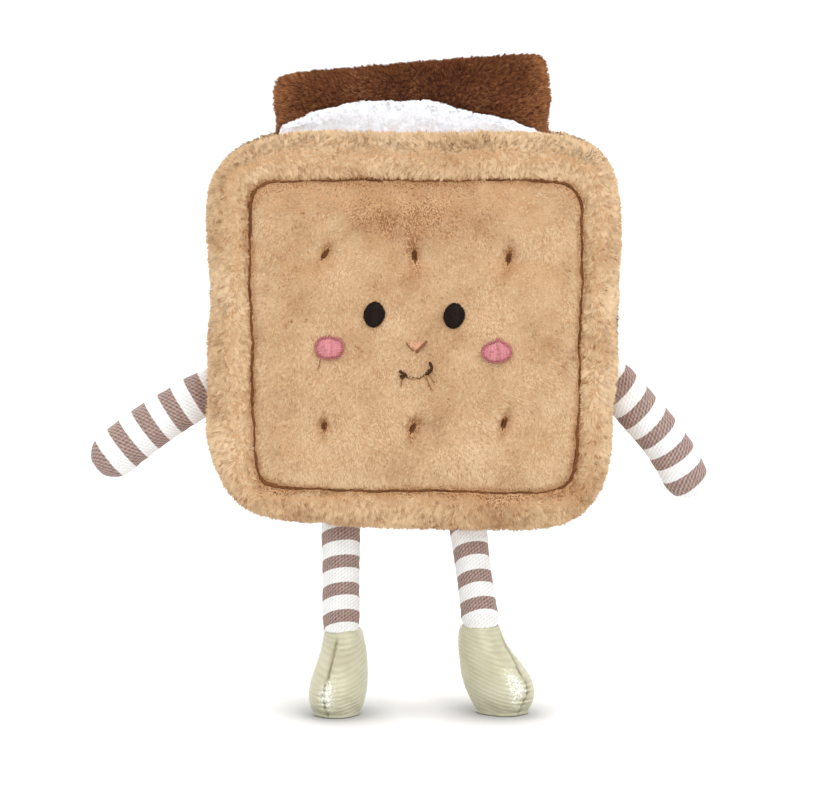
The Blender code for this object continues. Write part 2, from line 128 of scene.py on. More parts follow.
# Each dimple: middle in x and z, lean and half length of its slit
DIMPLES = [(-0.0450, 0.0394, 0.55, 0.0037), (-0.0010, 0.0386, -0.10, 0.0041),
           (0.0453, 0.0376, 0.15, 0.0039), (-0.0456, -0.0456, 0.05, 0.0032),
           (-0.0019, -0.0467, 0.35, 0.0035), (0.0432, -0.0441, 0.22, 0.0041)]
DIMPLE_HALF_WIDTH = 0.0015

# Where the stuffing pushes the outline out or leaves it slack: x, z, reach and push
BULGES = [(-0.101, 0.069, 0.013, 0.0022), (-0.083, 0.092, 0.010, -0.0010),
          (-0.102, -0.012, 0.012, 0.0010), (-0.101, -0.051, 0.012, 0.0026),
          (-0.096, -0.072, 0.008, -0.0006), (0.101, 0.024, 0.012, 0.0011),
          (0.100, -0.010, 0.014, 0.0015), (0.090, 0.088, 0.016, 0.0004)]

# Stuffing: how far cloth is blown up at most, and the share by which it is slack
PRESSURE = 4.0
CLOTH_FRAMES = 20
CUSHION_CAP = 1.6 * MM
PAD_CAP = 1.2 * MM
CUSHION_SLACK = 0.02
LIMB_CAP = 0.8 * MM
LIMB_SLACK = 0.04
CRACKER_VOXEL = 5 * MM
PAD_VOXEL = 4 * MM
LIMB_VOXEL = 1.8 * MM
SHOE_VOXEL = 2.0 * MM
# How far the skin lies below the outside of its pile
CRACKER_PILE = 3.0 * MM
CHOCOLATE_PILE = 2.0 * MM
MARSHMALLOW_PILE = 1.8 * MM

# The face: middle in x and z, and full width and height
EYES = {"eye_left": (-0.0207, 0.0100), "eye_right": (0.0185, 0.0094)}
EYE_SIZE = (0.0105, 0.0131)
CHEEKS = {"cheek_left": (-0.0427, -0.0064), "cheek_right": (0.0394, -0.0085)}
CHEEK_SIZES = {"cheek_left": (0.0138, 0.0110), "cheek_right": (0.0148, 0.0112)}
NOSE = (0.0003, -0.0058)
NOSE_SIZE = (0.0110, 0.0075)
NOSE_STROKES = [[(-0.0046, -0.0036), (-0.0034, -0.0054), (-0.0010, -0.0078)],
                [(0.0052, -0.0030), (0.0034, -0.0048), (-0.0002, -0.0085)]]
SMILE_ENDS = ((-0.0068, -0.0187), (0.0063, -0.0172))
SMILE_SAG = 0.0037
MOUTH_CORNERS = [[(-0.0084, -0.0178), (-0.0070, -0.0186), (-0.0052, -0.0197)],
                 [(-0.0078, -0.0200), (-0.0070, -0.0210), (-0.0058, -0.0200)],
                 [(0.0064, -0.0134), (0.0075, -0.0158), (0.0068, -0.0180), (0.0046, -0.0196)]]
# Single dark hairs that stick out from the corners of the mouth and under a cheek
LOOSE_HAIRS = [[(-0.0068, -0.0206), (-0.0072, -0.0228), (-0.0077, -0.0252)],
               [(0.0058, -0.0192), (0.0072, -0.0214), (0.0092, -0.0236)],
               [(0.0046, -0.0202), (0.0058, -0.0232), (0.0074, -0.0266)],
               [(0.0078, -0.0180), (0.0086, -0.0192), (0.0096, -0.0198)],
               [(-0.0474, -0.0122), (-0.0478, -0.0146), (-0.0484, -0.0168)]]
# Short partings in the pile, from point to point in x and z, with painted shade along them
PARTINGS = [((-0.0070, -0.0210), (-0.0076, -0.0248)), ((0.0060, -0.0190), (0.0090, -0.0238)),
            ((0.0048, -0.0204), (0.0076, -0.0270)), ((-0.0470, -0.0125), (-0.0480, -0.0165)),
            ((-0.0300, -0.0050), (-0.0268, -0.0078)), ((-0.0640, 0.0050), (-0.0612, 0.0072)),
            ((-0.0560, 0.0596), (-0.0545, 0.0606)), ((-0.0858, 0.0512), (-0.0812, 0.0492)),
            ((-0.0752, 0.0703), (-0.0790, 0.0650)), ((-0.0780, -0.0772), (-0.0740, -0.0738)),
            ((-0.0054, -0.0204), (-0.0010, -0.0220)), ((-0.0010, -0.0220), (0.0046, -0.0203))]

# Embroidery and stitches
SATIN_PITCH = 0.46 * MM
EDGE_PITCH = 1.1 * MM
# How far outward a patch's edge thread goes, and how deep it is there
EDGE_THREAD = [(-0.9 * MM, 0.2 * MM), (-0.3 * MM, 0.0), (0.3 * MM, 0.5 * MM), (0.7 * MM, 1.6 * MM)]
NOSE_SINK = 1.4 * MM
SMILE_DEPTH = 3.0 * MM
STROKE_STEPS = 12
GROOVE_STEPS = 720
STITCH_STEPS = 12

# Where the free parts of the pads begin
PAD_SHOWS_ABOVE = 0.090
# The marshmallow's top edge sits higher or lower than its solid: x and rise
MARSHMALLOW_RISE = [(-0.068, 0.0), (-0.056, 0.0012), (-0.045, 0.0026), (-0.022, 0.0024),
                    (-0.006, 0.0008), (0.009, 0.0018), (0.018, -0.0006), (0.034, -0.0020),
                    (0.050, -0.0024), (0.066, -0.0030)]
MARSHMALLOW_PEAK = 0.1098
CHOCOLATE_MIDDLE = -0.0020

# Limbs: the middle line in x and z, from the seam outward, and the stripes along it
ARM_PATHS = {
    "arm_left": [(-0.0943, -0.0255), (-0.1145, -0.0373), (-0.1336, -0.0500), (-0.1508, -0.0634)],
    "arm_right": [(0.0923, -0.0205), (0.1099, -0.0396), (0.1248, -0.0571), (0.1350, -0.0745)],
}
# Middle of the first dark stripe, distance between them, dark width, arch, tilt, and where they end
Stripe = namedtuple("Stripe", "middle pitch dark arch tilt end")
STRIPES = {
    "arm_left": Stripe(0.0008, 0.0148, 0.0075, 0.0, 0.0, 0.2),
    "arm_right": Stripe(-0.0029, 0.0144, 0.0072, 0.0020, 0.11, 0.2),
    "leg_left": Stripe(0.0024, 0.0145, 0.0068, -0.0048, 0.14, 0.2),
    "leg_right": Stripe(0.0093, 0.0147, 0.0068, -0.0055, 0.07, 0.0608),
}
TWILL_PITCH = 1.9 * MM
TWILL_CROSS_PITCH = 1.5 * MM
LIMB_ROWS = 110
LIMB_AROUND = 56
LIMB_HALF = 0.009
ARM_END_ROWS = 11
ARM_END_TURN = math.radians(7.5)

# Shoes: the way each points, and where its seam runs from the sole up, as angles round the shoe
SHOE_TURNS = {"shoe_left": math.radians(-14), "shoe_right": math.radians(46)}
SHOE_SEAMS = {"shoe_left": (-4, -10, -3, -6, -6), "shoe_right": (-8, 5, -1, 20, 30)}
# Where the light glints: the way round the shoe from its seam, and the share of its height
SHOE_GLINTS = {"shoe_left": (1.5 * MM, 0.29), "shoe_right": (-6.0 * MM, 0.34)}
# Where the stuffing pushes a shoe out or leaves it slack: angle, share of the height and push
SHOE_BULGES = {"shoe_left": [(90, 0.55, 0.9 * MM), (90, 0.98, -1.6 * MM)],
               "shoe_right": [(45, 0.28, 0.9 * MM)]}
# The heights of a seam's angles, as shares, and how far up the sides start to go straight down
SHOE_SEAM_HEIGHTS = (0, 0.3, 0.55, 0.8, 1)
SHOE_SIDE_FROM = 1.8 * MM
SHOE_ROWS = 120
SHOE_AROUND = 96
RIB_PITCH = 2.1 * MM
RIB_HEIGHT = 0.12 * MM
RIB_DIP = 0.28

# The pile at a place: how much of it grows, the way it lies, its length and its tone
Pile = namedtuple("Pile", "weight lean length tone")
Tufts = namedtuple("Tufts", "place lean size tone tips")
Patch = namedtuple("Patch", "place size lean outline sink")

# A kind of fur: the number of strands, their length and width, how far they curl over, a tuft's
# size, how far a tuft draws its strands together and how round it is shaded, how unevenly it lies,
# how much darker some tufts are, and the spread of the strands' tones
FurStyle = namedtuple("FurStyle", "count length width curl tuft pull dome wander specks grain")

PANEL_FUR = FurStyle(80000, 3.2 * MM, 0.52 * MM, 1.8, 1.0 * MM, 0.30, 0.12, 0.18, -0.14, 0.02)
RIM_FUR = FurStyle(90000, 4.6 * MM, 0.55 * MM, 1.8, 1.6 * MM, 0.38, 0.18, 0.32, -0.22, 0.03)
BACK_PANEL_FUR = FurStyle(30000, 3.6 * MM, 0.64 * MM, 2.0, 1.5 * MM, 0.30, 0.16, 0.40, -0.20, 0.03)
BACK_RIM_FUR = FurStyle(44000, 4.6 * MM, 0.68 * MM, 1.8, 2.1 * MM, 0.38, 0.22, 0.42, -0.20, 0.04)
CHOCOLATE_FUR = FurStyle(80000, 4.2 * MM, 0.37 * MM, 1.5, 1.4 * MM, 0.28, 0.26, 0.36, 0.20, 0.14)
FLEECE = FurStyle(40000, 2.7 * MM, 0.69 * MM, 1.8, 2.0 * MM, 0.40, 0.10, 0.40, 0.0, 0.08)
TUFT_PACKING = 0.87
SPECKED_SHARE = 0.12
ROOT_DEPTH = 0.4 * MM
# Light scatters through a pile and keeps its edges bright, so strands and their shading are
# turned partly to the cushion's own side
STRAND_TURN = 1.2
SHADING_TURN = {FRONT: (0.0, -0.8, 0.15), BACK: (0.0, 0.15, 0.15)}


# Small helpers

def smooth_step(low, high, value):
    t = np.clip((value - low) / (high - low), 0.0, 1.0)
    return t * t * (3 - 2 * t)


def bell(distance, width):
    """1 in the middle, and falling off smoothly over the width."""
    return np.exp(-(distance / width) ** 2)


def unit_rows(rows):
    return rows / np.maximum(np.linalg.norm(rows, axis=1, keepdims=True), 1e-12)


def smooth_noise(points, size, shift=0.0):
    """Smooth noise from -1 to 1 at each point, with features of the given size."""
    scaled = points / size + shift
    return np.array([noise.noise(p) for p in scaled.tolist()])


def linear(red, green, blue):
    """A colour for a shader from its 0 to 255 values on a screen."""
    def channel(value):
        value /= 255
        return value / 12.92 if value <= 0.04045 else ((value + 0.055) / 1.055) ** 2.4
    return channel(red), channel(green), channel(blue), 1.0


def grey(value):
    return value, value, value, 1.0


def read_points(mesh):
    points = np.empty(len(mesh.vertices) * 3)
    mesh.vertices.foreach_get("co", points)
    return points.reshape(-1, 3)


def write_points(mesh, points):
    mesh.vertices.foreach_set("co", points.ravel())
    mesh.update()


def read_normals(mesh):
    normals = np.empty(len(mesh.vertices) * 3)
    mesh.vertex_normals.foreach_get("vector", normals)
    return normals.reshape(-1, 3)


def triangle_mesh(name, points, triangles):
    mesh = bpy.data.meshes.new(name)
    mesh.vertices.add(len(points))
    mesh.vertices.foreach_set("co", points.ravel())
    mesh.loops.add(triangles.size)
    mesh.loops.foreach_set("vertex_index", triangles.ravel())
    mesh.polygons.add(len(triangles))
    mesh.polygons.foreach_set("loop_start", np.arange(0, triangles.size, 3))
    mesh.update(calc_edges=True)
    mesh.shade_smooth()
    return mesh


def new_piece(name, mesh, slot, material, *replaced):
    """Puts a finished mesh in the scene as a piece that rides on the toy."""
    piece = bpy.data.objects.new(name, mesh)
    bpy.context.scene.collection.objects.link(piece)
    return finish_piece(piece, slot, material, *replaced)


def finish_piece(piece, slot, material, *replaced):
    piece.data.materials.clear()
    piece.data.materials.append(material)
    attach(piece, "root")
    if replaced:
        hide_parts(*replaced)
    return piece


# Materials

class Shader:
    """A material's nodes, made and joined in short calls."""

    def __init__(self, name, roughness, sheen=0.0, metallic=0.0, specular=0.3):
        self.material = bpy.data.materials.new(name)
        self.material.use_nodes = True
        self.nodes = self.material.node_tree.nodes
        self.links = self.material.node_tree.links
        self.surface = self.nodes["Principled BSDF"]
        self.surface.inputs["Roughness"].default_value = roughness
        self.surface.inputs["Metallic"].default_value = metallic
        self.surface.inputs["Specular IOR Level"].default_value = specular
        self.surface.inputs["Sheen Weight"].default_value = sheen
        self.surface.inputs["Sheen Roughness"].default_value = 0.4

    def node(self, kind, inputs=None, **settings):
        made = self.nodes.new("ShaderNode" + kind)
        for key, value in settings.items():
            setattr(made, key, value)
        for key, value in (inputs or {}).items():
            self.feed(made.inputs[key], value)
        return made

    def feed(self, socket, value):
        if isinstance(value, bpy.types.NodeSocket):
            self.links.new(value, socket)
        else:
            socket.default_value = value

    def attribute(self, name):
        return self.node("Attribute", attribute_name=name)

    def parts(self, vector):
        return self.node("SeparateXYZ", {0: vector}).outputs

    def ramp(self, factor, stops):
        made = self.node("ValToRGB", {"Fac": factor})
        elements = made.color_ramp.elements
        while len(elements) < len(stops):
            elements.new(0.5)
        for element, (place, colour) in zip(elements, stops):
            element.position = place
            element.color = colour
        return made.outputs["Color"]

    def shades(self, factor, dark, light, start=0.3, end=0.7):
        """Runs from one screen colour to another."""
        return self.ramp(factor, [(start, linear(*dark)), (end, linear(*light))])

    def mix(self, factor, first, second, blend="MIX"):
        made = self.node("Mix", data_type="RGBA", blend_type=blend)
        self.feed(made.inputs[0], factor)
        self.feed(made.inputs[6], first)
        self.feed(made.inputs[7], second)
        return made.outputs[2]

    def math(self, operation, first, second=0.0, third=0.0):
        made = self.node("Math", operation=operation)
        for socket, value in zip(made.inputs, (first, second, third)):
            self.feed(socket, value)
        return made.outputs[0]

    def map_range(self, value, low, high, to_low=0.0, to_high=1.0):
        made = self.node("MapRange", {"Value": value, "From Min": low, "From Max": high,
                                      "To Min": to_low, "To Max": to_high})
        return made.outputs[0]

    def noise(self, scale, detail=2.0, vector=None):
        made = self.node("TexNoise", {"Scale": scale, "Detail": detail})
        if vector is not None:
            self.feed(made.inputs["Vector"], vector)
        return made.outputs["Fac"]

    def object_place(self):
        return self.node("TexCoord").outputs["Object"]

    def cloth_place(self):
        """The place on a cloth in metres: round the limb or shoe, and along it."""
        return self.node("UVMap", uv_map="cloth").outputs["UV"]

    def colour(self, value):
        self.feed(self.surface.inputs["Base Color"], value)

    def bump(self, height, distance, strength=1.0):
        made = self.node("Bump", {"Height": height, "Distance": distance, "Strength": strength})
        self.links.new(made.outputs["Normal"], self.surface.inputs["Normal"])


def fur_material(name, tips, roots, sheen=0.0, sheen_tint=(255, 255, 255)):
    """Fur: each strand carries its tone, and how far along it a point is, as an attribute."""
    shader = Shader(name, roughness=0.85, sheen=sheen, specular=0.0)
    shader.surface.inputs["Sheen Tint"].default_value = linear(*sheen_tint)
    tone, along = shader.parts(shader.attribute("fur").outputs["Vector"])[:2]
    tip_colour = shader.ramp(tone, even_stops(tips))
    root_colour = shader.ramp(tone, even_stops(roots))
    # Painted shade: the colour darkens from tip to root, as deep in the pile
    shader.colour(shader.mix(shader.map_range(along, 0.2, 0.85), root_colour, tip_colour))
    shader.links.new(shader.attribute("fur_normal").outputs["Vector"],
                     shader.surface.inputs["Normal"])
    return shader.material


def even_stops(colours):
    """Stops for a ramp, evenly spaced, from screen colours."""
    last = len(colours) - 1
    return [(k / last, linear(*colour)) for k, colour in enumerate(colours)]


def backing_material(name, dark, light):
    """The knitted backing that the pile grows from."""
    shader = Shader(name, roughness=0.95, specular=0.1)
    place = shader.object_place()
    shader.colour(shader.shades(shader.noise(90.0, 3.0, place), dark, light))
    shader.bump(shader.noise(900.0, 2.0, place), 0.6 * MM)
    return shader.material


def striped_material(name, stripe):
    """Twill cotton with dark stripes across the limb."""
    shader = Shader(name, roughness=0.88, sheen=0.15, specular=0.2)
    cloth = shader.cloth_place()
    around, along = shader.parts(cloth)[:2]
    dark = stripe_mask(shader, cloth, along, stripe)
    twill = twill_lines(shader, around, along)
    speckle = shader.noise(800.0, 2.0, cloth)
    mauve = shader.mix(0.4, shader.shades(twill, *MAUVE_TWILL, 0.2, 0.8),
                       shader.shades(speckle, *MAUVE_SPECKLE, 0.3, 0.75))
    white = shader.shades(twill, *WHITE_TWILL, 0.2, 0.8)
    worn = shader.ramp(shader.noise(160.0, 3.0, cloth), [(0.25, grey(0.88)), (0.75, grey(1.0))])
    shader.colour(shader.mix(1.0, shader.mix(dark, white, mauve), worn, "MULTIPLY"))
    shader.bump(shader.math("MULTIPLY_ADD", speckle, 0.5, twill), 0.12 * MM, 0.8)
    return shader.material


def stripe_mask(shader, cloth, along, stripe):
    """1 on the dark stripes, with slightly ragged edges, and 0 between and past them."""
    ragged = shader.math("MULTIPLY_ADD", shader.noise(1400.0, 1.0, cloth), 0.7 * MM, -0.35 * MM)
    place = shader.math("ADD", along, ragged)
    turns = shader.math("DIVIDE", shader.math("SUBTRACT", place, stripe.middle), stripe.pitch)
    shifted = shader.math("FRACT", shader.math("ADD", turns, 100.5))
    away = shader.math("ABSOLUTE", shader.math("SUBTRACT", shifted, 0.5))
    edge = stripe.dark / stripe.pitch / 2
    dark = shader.map_range(away, edge + 0.012, edge - 0.012)
    return shader.math("MULTIPLY", dark, shader.math("LESS_THAN", along, stripe.end))


def twill_lines(shader, around, along):
    """Slanting ridges of the weave, from 0 to 1."""
    slant = shader.math("MULTIPLY_ADD", around, 0.7, along)
    turns = shader.math("MULTIPLY", slant, 2 * math.pi / TWILL_PITCH)
    crossing = shader.math("MULTIPLY", around, 2 * math.pi / TWILL_CROSS_PITCH)
    ridges = shader.math("MULTIPLY_ADD", shader.math("SINE", turns), 0.30, 0.5)
    return shader.math("MULTIPLY_ADD", shader.math("SINE", crossing), 0.20, ridges)


def lame_material(name):
    """Pale gold cloth with a metal thread: fine ribs and soft shine, with a painted glint of small
    bright flecks near the toe and painted shade along the seam.
    """
    shader = Shader(name, roughness=0.48, metallic=0.15, sheen=0.1, specular=0.35)
    cloth = shader.cloth_place()
    seam, glint, rib = shader.parts(shader.attribute("marks").outputs["Vector"])
    flecks = shader.noise(1500.0, 2.0, cloth)
    tint = shader.shades(shader.noise(120.0, 3.0, cloth), *LAME_CLOTH)
    tint = shader.mix(shader.math("MULTIPLY", rib, 0.3), tint, linear(*LAME_RIB))
    tint = shader.mix(shader.math("MULTIPLY", flecks, 0.3), tint, linear(*LAME_FLECK))
    # Painted glint: flecks in the glint's patch are mixed to near white
    sparks = shader.math("MULTIPLY_ADD", shader.noise(1000.0, 1.0, cloth), 3.0, -1.0)
    bright = shader.map_range(shader.math("MULTIPLY", glint, sparks), 0.12, 0.62, 0.0, 0.9)
    tint = shader.mix(bright, tint, linear(*LAME_GLINT))
    # Painted shade along the seam
    shader.colour(shader.mix(seam, tint, linear(*LAME_SEAM_SHADE)))
    shader.feed(shader.surface.inputs["Roughness"],
                shader.map_range(flecks, 0.35, 0.7, 0.30, 0.56))
    shader.bump(flecks, 0.08 * MM, 0.6)
    return shader.material


def thread_material(name, dark, light, specular):
    """Embroidery thread: each strand's own shade, with the twist of its plies."""
    shader = Shader(name, roughness=0.6, specular=specular)
    shade = shader.math("MULTIPLY", shader.attribute("shade").outputs["Fac"], 0.7)
    place = shader.object_place()
    plies = shader.noise(2800.0, 2.0, place)
    thread = shader.shades(shader.math("MULTIPLY_ADD", plies, 0.4, shade), dark, light, 0.15, 0.85)
    # Painted shade: darker dots at random, for the shade in needle holes and between stitches
    hole_shade = shader.ramp(shader.noise(1000.0, 1.0, place),
                        [(0.32, (0.68, 0.60, 0.60, 1.0)), (0.46, grey(1.0))])
    shader.colour(shader.mix(1.0, thread, hole_shade, "MULTIPLY"))
    shader.bump(plies, 0.10 * MM, 0.6)
    return shader.material


# Stuffing: copies of the solids blown up as cloth

def copy_of_node(name, node):
    mesh = frame["nodes"][node].data.copy()
    mesh.name = name
    piece = bpy.data.objects.new(name, mesh)
    bpy.context.scene.collection.objects.link(piece)
    return piece


def apply_modifiers(piece):
    evaluated = piece.evaluated_get(bpy.context.evaluated_depsgraph_get())
    mesh = bpy.data.meshes.new_from_object(evaluated)
    piece.modifiers.clear()
    old = piece.data
    piece.data = mesh
    bpy.data.meshes.remove(old)
    mesh.name = piece.name
    mesh.shade_smooth()


def remesh(piece, voxel):
    weld = piece.modifiers.new("weld", "WELD")
    weld.merge_threshold = 0.01 * MM
    even = piece.modifiers.new("even", "REMESH")
    even.mode = "VOXEL"
    even.voxel_size = voxel
    apply_modifiers(piece)


def smooth_out(piece, repeats):
    relax = piece.modifiers.new("relax", "SMOOTH")
    relax.factor = 0.5
    relax.iterations = repeats
    apply_modifiers(piece)


def subdivide(piece):
    finer = piece.modifiers.new("finer", "SUBSURF")
    finer.levels = 1
    finer.render_levels = 1
    apply_modifiers(piece)


def search_tree(piece):
    return BVHTree.FromPolygons(read_points(piece.data).tolist(),
                                [list(face.vertices) for face in piece.data.polygons])


def blow_up(piece, held, cap, slack):
    """Simulates the skin as cloth under pressure. Held points stay, and none moves past the cap."""
    start = read_points(piece.data)
    group = piece.vertex_groups.new(name="held")
    group.add(np.flatnonzero(held).tolist(), 1.0, "REPLACE")
    cloth = piece.modifiers.new("cloth", "CLOTH")
    cloth.settings.use_pressure = True
    cloth.settings.uniform_pressure_force = PRESSURE
    cloth.settings.vertex_group_mass = "held"
    cloth.settings.shrink_min = -slack
    cloth.settings.effector_weights.gravity = 0.0
    cloth.point_cache.frame_start = 1
    cloth.point_cache.frame_end = CLOTH_FRAMES
    scene = bpy.context.scene
    for step in range(1, CLOTH_FRAMES + 1):
        scene.frame_set(step)
    apply_modifiers(piece)
    scene.frame_set(1)
    piece.vertex_groups.clear()
    move = read_points(piece.data) - start
    far = np.linalg.norm(move, axis=1, keepdims=True)
    move *= np.minimum(1.0, cap / np.maximum(far, 1e-9))
    write_points(piece.data, start + move)


def settled(x, z):
    """Places on the crackers before the taper and slant that the stuffing gives them."""
    height = z / BODY_HALF_HEIGHT
    slant = BOTTOM_SLANT * x * np.maximum(0.0, -height) ** SLANT_POWER
    return x / (1 + BODY_TAPER * height), z + slant


def border_distance(x, z):
    """How far a place lies outside the stitched line round the panel. Inside it is below zero."""
    u, v = settled(x, z)
    v = v + GROOVE_DROP
    across = np.abs(u) / GROOVE_HALF_WIDTH
    up = np.abs(v) / GROOVE_HALF_HEIGHT
    reach = (across ** GROOVE_POWER + up ** GROOVE_POWER) ** (1 / GROOVE_POWER)
    size = np.where(across > up, GROOVE_HALF_WIDTH, GROOVE_HALF_HEIGHT)
    wave = np.sin(u * 95 + 0.6) + np.sin(v * 120 + 1.7) + 0.6 * np.sin((u - v) * 310)
    wave += 0.5 * np.sin((u + v) * 780 + 2 * np.sin(u * 400))
    return (reach - 1) * size + GROOVE_WAVE * 0.5 * wave


def dimple_away(x, z):
    """The way to each place from the middle of the dimple nearest to it."""
    ways = np.stack([np.stack([x - dimple[0], np.zeros_like(x), z - dimple[1]], axis=-1)
                     for dimple in DIMPLES])
    pick = np.linalg.norm(ways, axis=-1).argmin(0)
    return ways[pick, np.arange(len(x))]


def slit_distance(x, z):
    """How far a place is from the nearest dimple's slit, in half sizes: below 1 is in it."""
    gaps = []
    for dx, dz, lean, half_length in DIMPLES:
        gx, gz = x - dx, z - dz
        along = gx * math.sin(lean) + gz * math.cos(lean)
        across = gx * math.cos(lean) - gz * math.sin(lean)
        gaps.append(np.hypot(across / DIMPLE_HALF_WIDTH, along / half_length))
    return np.min(gaps, axis=0)


def parting_distance(x, z):
    """How far a place lies from the nearest short parting in the pile."""
    gaps = []
    for (x0, z0), (x1, z1) in PARTINGS:
        run_x, run_z = x1 - x0, z1 - z0
        share = ((x - x0) * run_x + (z - z0) * run_z) / (run_x ** 2 + run_z ** 2)
        share = np.clip(share, 0, 1)
        gaps.append(np.hypot(x - x0 - share * run_x, z - z0 - share * run_z))
    return np.min(gaps, axis=0)


def in_pocket(local, depth):
    sides = np.abs(local[:, 0] - POCKET_MIDDLE) < POCKET_HALF_WIDTH + POCKET_MARGIN
    above = local[:, 2] > POCKET_FLOOR - POCKET_MARGIN
    return sides & above & (depth < POCKET_DEPTH + POCKET_MARGIN)


def stuff_cracker(name, node, side):
    """A cushion with a rolled rim round a crowned panel, held at its stitches."""
    piece = copy_of_node(name, node)
    remesh(piece, CRACKER_VOXEL)
    points = read_points(piece.data)
    local = points - BODY
    x, depth, z = local[:, 0], local[:, 1] * side, local[:, 2]
    pocket = in_pocket(local, depth)
    inward = -read_normals(piece.data) * CRACKER_PILE
    inward[:, 1] *= smooth_step(0.0, 9 * MM, depth)
    inward[pocket] = 0.0
    write_points(piece.data, points + inward)
    dimple = np.linalg.norm(dimple_away(x, z), axis=1)
    stitched = (np.abs(border_distance(x, z)) < 3.5 * MM) | (dimple < 4 * MM)
    held = pocket | (depth < 3 * MM) | (stitched & (depth > 20 * MM))
    blow_up(piece, held, CUSHION_CAP, CUSHION_SLACK)
    subdivide(piece)
    push_outline(piece.data)
    press_stitches(piece.data, side)
    return piece


def push_outline(mesh):
    """Small uneven bulges along the cushion's edge."""
    points = read_points(mesh)
    x, z = points[:, 0] - BODY[0], points[:, 2] - BODY[2]
    push = np.zeros(len(points))
    for bulge_x, bulge_z, reach, amount in BULGES:
        push += amount * bell(np.hypot(x - bulge_x, z - bulge_z), reach * math.sqrt(2))
    write_points(mesh, points + edge_direction(x, z) * push[:, None])


def press_stitches(mesh, side):
    """Draws the skin in along the stitched line and at the six dimples."""
    points = read_points(mesh)
    local = points - BODY
    x, depth, z = local[:, 0], local[:, 1] * side, local[:, 2]
    line = bell(border_distance(x, z), 2.2 * MM)
    dimple = bell(np.linalg.norm(dimple_away(x, z), axis=1), 4.0 * MM)
    cut = 2.0 * MM * line + 2.6 * MM * dimple
    points[:, 1] -= side * cut * smooth_step(18 * MM, 24 * MM, depth)
    write_points(mesh, points)


# Fur

def skin_of(piece):
    """The corners of a skin's triangles, and the normals at those corners."""
    mesh = piece.data
    mesh.calc_loop_triangles()
    triangles = np.empty(len(mesh.loop_triangles) * 3, np.int32)
    mesh.loop_triangles.foreach_get("vertices", triangles)
    triangles = triangles.reshape(-1, 3)
    return read_points(mesh)[triangles], read_normals(mesh)[triangles]


def grown_areas(skin, pile):
    """The area of each of the skin's triangles, as far as the pile grows on it."""
    corners, normals = skin
    spans = np.cross(corners[:, 1] - corners[:, 0], corners[:, 2] - corners[:, 0])
    areas = np.linalg.norm(spans, axis=1) / 2
    return areas * pile(corners.mean(1), unit_rows(normals.mean(1))).weight


def scatter(skin, areas, count, rng):
    """Places spread evenly over the grown areas, with the skin's normals there."""
    corners, normals = skin
    share = np.cumsum(areas)
    place = (np.arange(count) + rng.random(count)) / count * share[-1]
    pick = np.minimum(np.searchsorted(share, place), len(share) - 1)
    u, v = rng.random(count), rng.random(count)
    flip = u + v > 1
    u[flip], v[flip] = 1 - u[flip], 1 - v[flip]
    weights = np.stack([1 - u - v, u, v], axis=1)[:, :, None]
    return (corners[pick] * weights).sum(1), unit_rows((normals[pick] * weights).sum(1))


def nearest(centres, points):
    """The number of the centre that is nearest to each point."""
    tree = kdtree.KDTree(len(centres))
    for k, centre in enumerate(centres.tolist()):
        tree.insert(centre, k)
    tree.balance()
    return np.array([tree.find(point)[1] for point in points.tolist()])


def along_skin(vectors, normals):
    """What is left of each vector without its part along the normal."""
    return vectors - normals * (vectors * normals).sum(1, keepdims=True)


def gather_tufts(skin, areas, pile, style, rng):
    """The middles of the tufts, with the lean, size, tone and tip of each."""
    count = int(areas.sum() / (style.tuft ** 2 * TUFT_PACKING))
    place, normals = scatter(skin, areas, count, rng)
    grown = pile(place, normals)
    lean = along_skin(grown.lean + rng.normal(0, style.wander, place.shape), normals)
    size = rng.uniform(0.82, 1.12, count)
    specks = style.specks * (rng.random(count) < SPECKED_SHARE)
    tone = rng.normal(0, 0.05, count) + specks * 2 * np.maximum(grown.tone, 0.0)
    reach = 0.9 * style.length * grown.length * size
    return Tufts(place, lean, size, tone, place + unit_rows(normals + lean) * reach[:, None])


def grow_fur(skin, pile, style, seed, side):
    """Bent, pointed strands in tufts. Returns their points, shading normals and tones."""
    rng = np.random.default_rng(seed)
    areas = grown_areas(skin, pile)
    roots, normals = scatter(skin, areas, style.count, rng)
    grown = pile(roots, normals)
    keep = grown.weight > rng.random(len(roots)) * 0.999
    roots, normals = roots[keep], normals[keep]
    grown = Pile(*(values[keep] for values in grown))
    tufts = gather_tufts(skin, areas, pile, style, rng)
    owner = nearest(tufts.place, roots)

    count = len(roots)
    jitter = rng.normal(0, style.wander * 0.45, roots.shape)
    lean = along_skin(0.35 * grown.lean + 0.65 * tufts.lean[owner] + jitter, normals)
    length = style.length * grown.length * tufts.size[owner] * rng.uniform(0.78, 1.1, count)
    first = unit_rows(normals + lean * 0.55)
    second = unit_rows(normals + lean * style.curl)
    sunk = roots - normals * ROOT_DEPTH
    bend = sunk + first * (length * 0.52)[:, None]
    tips = bend + second * (length * 0.48)[:, None]
    gather = (style.pull * rng.uniform(0.5, 1.3, count))[:, None]
    tips += (tufts.tips[owner] - tips) * gather * 0.8
    bend += (tufts.tips[owner] - tips) * gather * 0.15
    across = strand_across(first, normals, side, rng)
    half = (style.width * rng.uniform(0.35, 0.62, count))[:, None]
    points = np.stack([sunk, bend - across * half, bend + across * half, tips], axis=1)

    from_tuft = along_skin(roots - tufts.place[owner], normals) / (style.tuft * 0.5)
    shading = unit_rows(normals + style.dome * from_tuft + 0.08 * lean + SHADING_TURN[side])
    tone = grown.tone + tufts.tone[owner] + rng.normal(0, style.grain, count)
    return points, shading, np.clip(tone, 0.10, 0.98)


def strand_across(along, normals, side, rng):
    """The way across each flat strand, which faces out of the skin and to the cushion's side."""
    toward = normals + (0.0, STRAND_TURN * side, 0.0)
    across = unit_rows(np.cross(along, toward) + rng.normal(0, 0.2, along.shape))
    across = unit_rows(along_skin(across, along))
    facing = (np.cross(across, along) * normals).sum(1)
    across[facing < 0] *= -1
    return across


